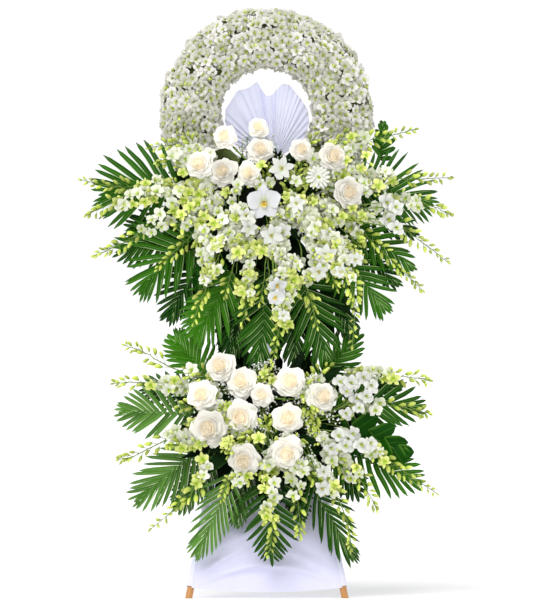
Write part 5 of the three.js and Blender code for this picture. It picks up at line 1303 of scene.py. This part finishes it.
# more sprays of the same bunches, which cover the front of the foam
coverSprays = {
    "orchids_upper_left": [
        ([(-160, 1150), (-210, 1110), (-262, 1062)], (76, 78), (0.1, 0.9), (0.85, 0.99)),
        ([(-150, 1235), (-200, 1285), (-240, 1335)], (70, 96), (0.1, 0.75), (0.7, 0.99)),
        ([(-150, 1215), (-200, 1238), (-262, 1238)], (78, 84), (0.1, 0.9), (0.8, 0.99)),
        ([(-150, 1120), (-180, 1060), (-200, 1010)], (74, 80), (0.1, 0.9), (0.8, 0.99)),
    ],
    "orchids_upper_right": [
        ([(150, 1225), (195, 1290), (235, 1345)], (70, 96), (0.1, 0.7), (0.6, 0.99)),
        ([(150, 1205), (215, 1240), (290, 1255)], (78, 84), (0.1, 1), None),
        ([(150, 1150), (220, 1120), (300, 1080)], (74, 78), (0.1, 1), None),
        ([(150, 1120), (215, 1060), (270, 1010)], (78, 80), (0.1, 0.9), (0.8, 0.99)),
        ([(130, 1235), (120, 1290), (150, 1338)], (76, 98), (0.2, 0.6), (0.5, 0.99)),
    ],
    "orchids_upper_down_left": [
        ([(-130, 1075), (-168, 1030), (-176, 960), (-158, 905)], (86, 84), (0.15, 0.95), (0.8, 0.99)),
        ([(-50, 1010), (-60, 960), (-62, 905), (-48, 860)], (92, 88), (0.1, 0.95), (0.85, 0.99)),
        ([(-90, 1035), (-80, 990), (-88, 930)], (88, 84), (0.1, 0.95), None),
        ([(-105, 1040), (-135, 985), (-178, 900)], (92, 84), (0.05, 0.7), (0.6, 0.99)),
        ([(-85, 1020), (-95, 950), (-122, 860)], (90, 88), (0.05, 0.75), (0.7, 0.99)),
        ([(-60, 1080), (-90, 1110), (-140, 1095)], (88, 92), (0.1, 1), None),
        ([(-70, 1090), (-80, 1150), (-60, 1190)], (90, 96), (0.2, 1), None),
        ([(-55, 1050), (-35, 1080), (-38, 1120)], (94, 88), (0.2, 1), None),
    ],
    "orchids_upper_down_centre": [
        ([(22, 1010), (34, 950), (28, 880), (36, 830)], (92, 90), (0.1, 0.98), None),
        ([(50, 1005), (62, 960), (66, 900), (88, 868)], (88, 86), (0.1, 0.9), (0.8, 0.99)),
        ([(30, 930), (46, 850), (44, 800), (58, 770)], (86, 86), (0.3, 0.9), (0.8, 0.99)),
        ([(0, 1000), (-5, 930), (-20, 840)], (90, 88), (0.05, 0.8), (0.7, 0.99)),
        ([(45, 1010), (70, 950), (78, 850)], (92, 86), (0.05, 0.8), (0.7, 0.99)),
        ([(15, 1060), (40, 1100), (82, 1110)], (94, 88), (0.1, 1), None),
        ([(10, 1030), (5, 960), (12, 900)], (84, 94), (0.05, 1), None),
        ([(5, 1060), (-8, 1170), (6, 1246)], (90, 98), (0.7, 0.95), (0.6, 0.99), 7),
    ],
    "orchids_upper_down_right": [
        ([(110, 1060), (140, 1010), (150, 950), (142, 915)], (92, 88), (0.1, 0.98), None),
        ([(150, 1050), (190, 1000), (215, 950), (222, 900)], (90, 86), (0.1, 0.95), (0.85, 0.99)),
        ([(120, 1080), (185, 1060), (240, 1010), (262, 965)], (88, 84), (0.1, 0.95), (0.9, 0.99)),
        ([(120, 1040), (165, 975), (205, 880)], (92, 86), (0.05, 0.75), (0.65, 0.99)),
        ([(140, 1060), (205, 1010), (262, 930)], (90, 86), (0.05, 0.75), (0.65, 0.99)),
        ([(110, 1090), (170, 1100), (228, 1080)], (88, 90), (0.1, 1), None),
        ([(80, 1090), (88, 1150), (70, 1190)], (90, 94), (0.15, 0.7), (0.5, 0.99)),
        ([(78, 1100), (72, 1190), (112, 1262)], (92, 98), (0.6, 0.95), (0.5, 0.99), 8),
        ([(90, 1100), (118, 1180), (128, 1212)], (92, 98), (0.7, 1), None),
    ],
    "orchids_lower_left": [
        ([(-150, 545), (-200, 555), (-262, 545)], (74, 78), (0.1, 0.7), (0.6, 0.99)),
        ([(-150, 470), (-215, 440), (-285, 440)], (78, 80), (0.1, 0.8), (0.7, 0.99)),
        ([(-150, 560), (-180, 640), (-235, 660)], (74, 80), (0.3, 0.6), (0.5, 0.99)),
        ([(-140, 460), (-128, 520), (-118, 470)], (84, 96), (0.3, 0.9), (0.5, 0.99), 8),
    ],
    "orchids_lower_right": [
        ([(112, 560), (118, 520), (138, 468)], (92, 98), None, (0.3, 0.99), 5),
        ([(130, 560), (136, 515), (146, 470)], (90, 96), None, (0.3, 0.99), 5),
        ([(120, 570), (110, 610), (128, 640)], (86, 92), (0.2, 0.6), (0.4, 0.99), 7),
        ([(160, 440), (200, 400), (232, 345)], (80, 82), (0.1, 0.6), (0.5, 0.99)),
        ([(130, 590), (150, 640), (190, 672)], (70, 84), (0.2, 0.6), (0.5, 0.99)),
    ],
    "orchids_lower_down": [
        ([(15, 430), (-35, 480), (-60, 460), (-112, 405)], (86, 108), None, (0.4, 0.99), 6),
        ([(10, 440), (0, 500), (-20, 545), (-12, 640)], (84, 98), None, (0.8, 0.99), 5),
        ([(20, 440), (18, 480), (34, 512)], (86, 100), None, (0.45, 0.99), 5),
        ([(5, 440), (-4, 490), (8, 520)], (86, 102), None, (0.5, 0.99), 6),
        ([(0, 400), (-12, 372), (2, 330)], (84, 80), (0.1, 0.5), (0.3, 0.99), 7),
        ([(60, 395), (125, 360), (165, 300)], (80, 78), (0.1, 0.6), (0.5, 0.99)),
        ([(-10, 420), (-60, 470), (-110, 505), (-118, 560)], (84, 96), (0.55, 0.95), (0.3, 0.99), 8),
        ([(0, 410), (-30, 440), (-100, 440), (-122, 425)], (90, 104), (0.4, 0.9), (0.3, 0.99), 8),
        ([(30, 430), (70, 455), (110, 450)], (88, 100), (0.3, 0.9), (0.3, 0.99), 8),
        ([(-20, 395), (-70, 350), (-110, 330), (-130, 280)], (80, 76), (0.3, 0.6), (0.4, 0.99), 8),
        ([(10, 440), (-20, 620), (10, 640)], (82, 98), (0.8, 0.99), (0.75, 0.99), 5),
    ],
}
spraySettings = {
    "floretStep": 13.0, "floretRadius": (18, 25), "stalk": (7, 26), "leastLime": 0.22, "whiteUpTo": 0.24,
    "budStep": 10.5, "budLength": (26, 13), "budStalk": (0.75, 0.2), "stemRadius": (2.4, 1.0),
    "gapMargin": 8, "amongFlorets": 0.5, "smallBud": (13, 19), "smallStalk": (18, 26), "stemSteps": 18,
}
# where the almost black fill leaves, painted shade, show between the sprays: x, z and radius
shadeGaps = [
    (-13, 1080, 17), (-25, 1051, 11), (-62, 1166, 17), (-82, 1143, 11), (-117, 1123, 11), (-154, 1048, 9),
    (99, 1040, 10), (108, 1000, 11), (114, 956, 12), (24, 956, 12), (4, 971, 9), (-6, 905, 9),
    (-122, 985, 18), (-99, 948, 12), (10, 864, 14), (163, 1155, 14), (125, 1166, 11), (192, 1149, 11),
    (91, 1178, 9), (226, 1057, 12), (4, 1215, 11), (91, 1230, 11), (120, 1238, 9), (246, 1028, 14),
    (-76, 965, 12), (-13, 927, 12), (200, 905, 12), (60, 985, 8), (53, 570, 14), (-33, 429, 17),
    (206, 507, 15), (76, 464, 12), (-22, 510, 11), (-125, 582, 11), (140, 337, 10), (-39, 337, 14),
    (-160, 420, 12), (250, 430, 14),
]


def inGap(spot):
    x, z = (spot.x - centring.x) / mm, (spot.z - centring.z) / mm
    return any(math.hypot(x - gx, z - gz) < size + spraySettings["gapMargin"] for gx, gz, size in shadeGaps)


def routeLength(points, low, high):
    steps = 20
    spots = [routePoint(points, low + (high - low) * k / steps) for k in range(steps + 1)]
    return sum((b - a).length for a, b in zip(spots, spots[1:])) / mm


def alongSpray(points, t):
    spot, way = routePoint(points, t), routeWay(points, t)
    return spot, way, way.cross(front).normalized()


def addFlorets(points, span, dice, members, stalks):
    s = spraySettings
    count = round(routeLength(points, *span) / s["floretStep"])
    for k in range(count):
        t = between(span, (k + dice.uniform(0.2, 0.8)) / count)
        spot, way, side = alongSpray(points, t)
        side *= dice.choice((-1, 1)) if k % 3 == 0 else (1 if k % 2 else -1)
        out = (front * dice.uniform(0.5, 1.1) + side * dice.uniform(0.3, 1.0) + way * 0.25).normalized()
        reach = dice.random()
        centre = spot + out * between(s["stalk"], reach) * mm
        if inGap(centre):
            continue
        normal = front + out * 0.8 + Vector((dice.uniform(-0.4, 0.4), 0, dice.uniform(-0.7, 0.2)))
        size = dice.uniform(*s["floretRadius"]) * mm * (1.05 - 0.25 * t)
        template = limeFloret if dice.random() <= max(s["leastLime"], t - s["whiteUpTo"]) else whiteFloret
        # florets on short stalks lie deeper in and get a lower tone: painted shade, darker and limier
        tone = 0.5 * reach + dice.uniform(0, 0.5)
        members.append(stamp(template, facing(centre, normal, size, dice.uniform(-0.8, 0.8)), tone))
        stalks.append([(spot, 0.9), (spot.lerp(centre, 0.6) - front * 0.001, 0.8), (centre, 0.9)])
        if dice.random() < s["amongFlorets"]:
            # a small bud between the florets, on a stalk of its own
            out = (front * 1.1 - side * dice.uniform(0.2, 0.9) + way * dice.uniform(-0.4, 0.7)).normalized()
            foot = spot + out * dice.uniform(*s["smallStalk"]) * mm
            members.append(stamp(bud, facing(foot, out, dice.uniform(*s["smallBud"]) * mm), dice.random()))
            stalks.append([(spot, 0.7), (foot, 0.8)])


def addBuds(points, span, step, dice, members, stalks):
    s = spraySettings
    count = max(3, round(routeLength(points, *span) / step))
    for k in range(count):
        share = (k + 0.5) / count
        spot, way, side = alongSpray(points, between(span, share))
        lean = (1 if k % 2 else -1) * dice.uniform(0.2, 1.1)
        out = (side * lean + way * dice.uniform(0.6, 1.4) + front * dice.uniform(-0.2, 0.6)).normalized()
        length = between(s["budLength"], share) * dice.uniform(0.9, 1.1)
        stalk = between(s["budStalk"], share)
        if k == count - 1:
            out, stalk = way, 0
        foot = spot + out * length * stalk * mm
        members.append(stamp(bud, facing(foot, out, length * mm), dice.random()))
        stalks.append([(spot, 0.7), (foot, 0.8)])


def pegLine(face, at):
    spot, out = Vector(at), outOf[face]
    return [(place(*(spot + out * along)), radius) for along, radius in ((-22, 5.4), (10, 5.8), (12, 4.4))]


def rootOf(face, at, toward):
    spot = place(*at) + outOf[face] * 0.006
    aside = toward - spot
    aside -= outOf[face] * aside.dot(outOf[face])
    return spot + aside.normalized() * 0.0027


def buildOrchidBunch(node, seed):
    s = spraySettings
    tier, face, at, sprays = orchidBunches[node]
    dice = random.Random(seed)
    members, stems, stalks = [], [pegLine(face, at)], []
    for route, ahead, florets, buds, *budStep in sprays + coverSprays[node]:
        last = len(route) - 1
        points = [inFrontOf(tier, x, z, between(ahead, i / last)) for i, (x, z) in enumerate(route)]
        points.insert(0, rootOf(face, at, points[0]))
        shares = [k / s["stemSteps"] for k in range(s["stemSteps"] + 1)]
        stems.append([(routePoint(points, share), between(s["stemRadius"], share)) for share in shares])
        if florets:
            addFlorets(points, florets, dice, members, stalks)
        if buds:
            addBuds(points, buds, *(budStep or [s["budStep"]]), dice, members, stalks)
    members.append(drawStems("sprayStems", stems, 1, "flowerStem"))
    members.append(drawStems("sprayStalks", stalks, 0, "flowerStem"))
    piece = joinAll(pieceName(node), members)
    unevenly(piece, 0.0035, 70, place(*at))
    finishPiece(piece, node)


for seed, node in enumerate(orchidBunches):
    buildOrchidBunch(node, 100 + seed)
print("orchid sprays built")


# Heads on one peg: place on the foam's front, then x, z and radius of each head
roseGroups = {
    "roses_upper_left": (upper, (-70, -140, 1195), [(-196, 1247, 38), (-128, 1226, 37), (-52, 1219, 32)]),
    "roses_upper_top": (upper, (-25, -140, 1226), [(-19, 1290, 36), (-122, 1328, 32), (-24, 1354, 28)]),
    "roses_upper_right": (upper, (100, -140, 1205), [(102, 1290, 30), (195, 1270, 38), (240, 1166, 40)]),
    "roses_lower_top": (lower, (-84, -236, 578), [(-134, 666, 40), (-74, 622, 41), (-76, 520, 45)]),
    "roses_lower_left": (lower, (-95, -236, 470), [(-188, 584, 39), (-168, 487, 48)]),
    "roses_lower_centre": (lower, (0, -236, 450), [(-66, 396, 43), (58, 416, 44), (62, 516, 40)]),
    "roses_lower_right": (lower, (50, -236, 570), [(68, 622, 41), (163, 579, 39), (-14, 584, 30)]),
}
whiteGroups = {
    "white_blooms_upper": (upper, (0, -140, 1140), 122, [
        (-7, 1135, 50), (42, 1233, 36, "star"), (16, 1040, 36, "star"), (46, 1052, 28, "star", -8),
        (-56, 1097, 28, "star"), (-50, 1060, 26, "star", -6), (85, 1132, 28, "star"),
        (148, 1208, 36, "daisy"), (33, 896, 27, "moth", 2), (26, 862, 25, "moth", 4),
        (50, 812, 20, "star", 6)]),
    "white_blooms_upper_right": (upper, (95, -140, 1110), 112, [
        (168, 985, 36, "star"), (148, 936, 28, "star"), (255, 972, 25, "star"), (212, 938, 24, "star"),
        (176, 1040, 26, "star", -6), (346, 1136, 28, "round"), (372, 1122, 26, "round"),
        (350, 1084, 28, "round"), (372, 1064, 26, "round")]),
    "white_blooms_lower": (lower, (95, -236, 490), 115, [
        (212, 622, 24, "round"), (243, 619, 25, "round"), (278, 631, 26, "round"), (300, 608, 25, "round"),
        (284, 580, 25, "round"), (258, 572, 23, "round"), (229, 594, 24, "round"), (226, 530, 22, "round"),
        (262, 546, 20, "round"), (208, 468, 25, "round"), (226, 440, 25, "round"), (246, 474, 26, "round"),
        (272, 440, 27, "round"), (296, 446, 24, "round"), (186, 432, 22, "round"), (162, 366, 24, "star"),
        (160, 318, 26, "star", -20)]),
}


def headAxis(tier, x, z, lean):
    return (front + Vector((x, 0, z - tier["z"])) * lean / 300).normalized()


def buildRoseGroup(node, seed):
    tier, at, heads = roseGroups[node]
    dice = random.Random(seed)
    members, stems = [], [pegLine("front", at)]
    for x, z, radius in heads:
        axis = headAxis(tier, x, z, 0.5)
        centre = inFrontOf(tier, x, z, 124)
        template = roses[dice.randrange(len(roses))]
        members.append(stamp(template, facing(centre, axis, radius * mm, dice.uniform(0, 6)), dice.random()))
        root = rootOf("front", at, centre)
        neck = centre - axis * radius * 0.7 * mm
        cup = centre - axis * radius * 0.5 * mm
        stems.append([(root, 2.6), (root.lerp(neck, 0.5), 2.4), (neck, 3.0), (cup, 6.0)])
        for k in range(5):
            angle = math.tau * k / 5 + dice.uniform(-0.2, 0.2)
            side = axis.cross(Vector((0, 0, 1))).normalized()
            across = side * math.cos(angle) + axis.cross(side) * math.sin(angle)
            sepal = laid(neck, across + axis * 0.3, axis - across, 4.5 * mm, radius * 0.55 * mm)
            members.append(stamp(leaflet, sepal, 0.6))
    members.append(drawStems("roseStems", stems, 2, "flowerStem"))
    piece = joinAll(pieceName(node), members)
    unevenly(piece, 0.004, 45, place(*at))
    finishPiece(piece, node)


def buildWhiteGroup(node, seed):
    tier, at, ahead, heads = whiteGroups[node]
    dice = random.Random(seed)
    members, stems = [], [pegLine("front", at)]
    for x, z, radius, *rest in heads:
        kind, more = (*rest, 0)[:2] if rest else ("moth", 0)
        axis = headAxis(tier, x, z, 0.4)
        centre = inFrontOf(tier, x, z, ahead + more)
        matrix = facing(centre, axis, radius * mm, dice.uniform(-0.35, 0.35))
        members.append(stamp(whiteHeads[kind], matrix, dice.random()))
        root = rootOf("front", at, centre)
        neck = centre - axis * radius * 0.12 * mm
        stems.append([(root, 2.0), (root.lerp(neck, 0.5), 1.8), (neck, 1.8)])
    members.append(drawStems("whiteStems", stems, 1, "flowerStem"))
    piece = joinAll(pieceName(node), members)
    unevenly(piece, 0.005, 50, place(*at))
    finishPiece(piece, node)


for seed, node in enumerate(roseGroups):
    buildRoseGroup(node, 200 + seed)
for seed, node in enumerate(whiteGroups):
    buildWhiteGroup(node, 300 + seed)
print("roses and white blooms built")

# Fine filler: branching twigs with a speck of blossom at the end of each branch
fillerSprigs = {
    "gypsophila_upper": (upper, "top", (-60, -118, 1240), 88, [
        (-72, 1300), (10, 1318), (-55, 1325), (30, 1290), (45, 1262)]),
    "gypsophila_lower": (lower, "top", (-10, -205, 590), 100, [
        (-28, 662), (-8, 666), (18, 672), (-145, 605), (-122, 592), (100, 604), (115, 588), (172, 540),
        (190, 520), (-12, 532), (128, 392), (140, 372), (12, 560), (-48, 440), (-26, 470), (116, 500),
        (60, 460), (-6, 600), (20, 600), (-116, 540), (106, 548), (200, 500), (150, 470), (10, 400)]),
}
sprigSettings = {"specks": 38, "branch": (12, 26), "speck": (2.0, 3.2), "bow": 0.01}


def buildFiller(node, seed):
    s = sprigSettings
    tier, face, at, ahead, tips = fillerSprigs[node]
    dice = random.Random(seed)
    members, twigs = [], [pegLine(face, at)]
    for x, z in tips:
        end = inFrontOf(tier, x, z, ahead)
        start = rootOf(face, at, end)
        middle = start.lerp(end, 0.5) - front * s["bow"]
        twigs.append([(start, 1.4), (middle, 1.1), (end, 0.8)])
        for k in range(s["specks"]):
            t = dice.uniform(0.55, 1.0) if k % 3 else dice.uniform(0.3, 1.0)
            spot = start.lerp(middle, t * 2) if t < 0.5 else middle.lerp(end, t * 2 - 1)
            way = Vector((dice.uniform(-1, 1), dice.uniform(-0.9, 0.3), dice.uniform(-0.5, 1))).normalized()
            tip = spot + way * dice.uniform(*s["branch"]) * mm
            twigs.append([(spot, 0.35), (tip, 0.3)])
            members.append(stamp(speck, facing(tip, way, dice.uniform(*s["speck"]) * mm), dice.random()))
    members.append(drawStems("twigs", twigs, 0, "flowerStem"))
    piece = joinAll(pieceName(node), members)
    finishPiece(piece, node)


for seed, node in enumerate(fillerSprigs):
    buildFiller(node, 400 + seed)
for node in ("foam_upper", "foam_lower"):
    giveFinish(nodes[node], "foam")
dropTemplates(limeFloret, whiteFloret, wreathFloret, bud, speck, leaflet, paleLeaflet, broadLeaf, lobe,
              fillLeaf, *whiteHeads.values(), *roses)
print("filler built")


# Floor, light and camera
viewSettings = {"mmPerPixel": 2.88, "high": 600, "distance": 16, "aim": (0, -150, 855), "sensor": 24}


def addFloor():
    deselectAll()
    bpy.ops.mesh.primitive_plane_add(size=400, location=(0, 0, 0))
    floor = bpy.context.object
    floor.name = "studioFloor"
    giveFinish(floor, "floorPaint")


def addSun(name, spot, spread, strength):
    deselectAll()
    bpy.ops.object.light_add(type="SUN", location=spot)
    lamp = bpy.context.object
    lamp.name = name
    lamp.rotation_euler = (-Vector(spot)).to_track_quat("-Z", "Y").to_euler()
    lamp.data.angle = math.radians(spread)
    lamp.data.energy = strength


def addCamera():
    s = viewSettings
    aim = place(*s["aim"])
    deselectAll()
    bpy.ops.object.camera_add(location=aim + front * s["distance"], rotation=(math.pi / 2, 0, 0))
    camera = bpy.context.object
    camera.name = "camera"
    camera.data.sensor_fit = "VERTICAL"
    camera.data.sensor_height = s["sensor"]
    camera.data.lens = s["sensor"] * s["distance"] / (s["high"] * s["mmPerPixel"] * mm)
    bpy.context.scene.camera = camera


def addStudioAir():
    # the room is a little darker on the viewer's side than behind the flowers
    world = bpy.data.worlds.new("studioAir")
    world.use_nodes = True
    tree = world.node_tree
    way = addNode(tree, "ShaderNodeTexCoord")
    parts = addNode(tree, "ShaderNodeSeparateXYZ", {0: way.outputs["Generated"]})
    level = mapped(tree, parts.outputs[1], -0.6, 0.5, 0.42, 1.04, "SMOOTHSTEP")
    tree.links.new(level, tree.nodes["Background"].inputs[1])
    tree.nodes["Background"].inputs[0].default_value = (1, 1, 1, 1)
    bpy.context.scene.world = world


addFloor()
addSun("keySun", (-0.5, -1.0, 1.3), 50, 2.17)
addSun("fillSun", (0.9, -1.0, 0.35), 40, 0.5)
addStudioAir()
bpy.context.scene.view_settings.view_transform = "Standard"
addCamera()
print("stage set")
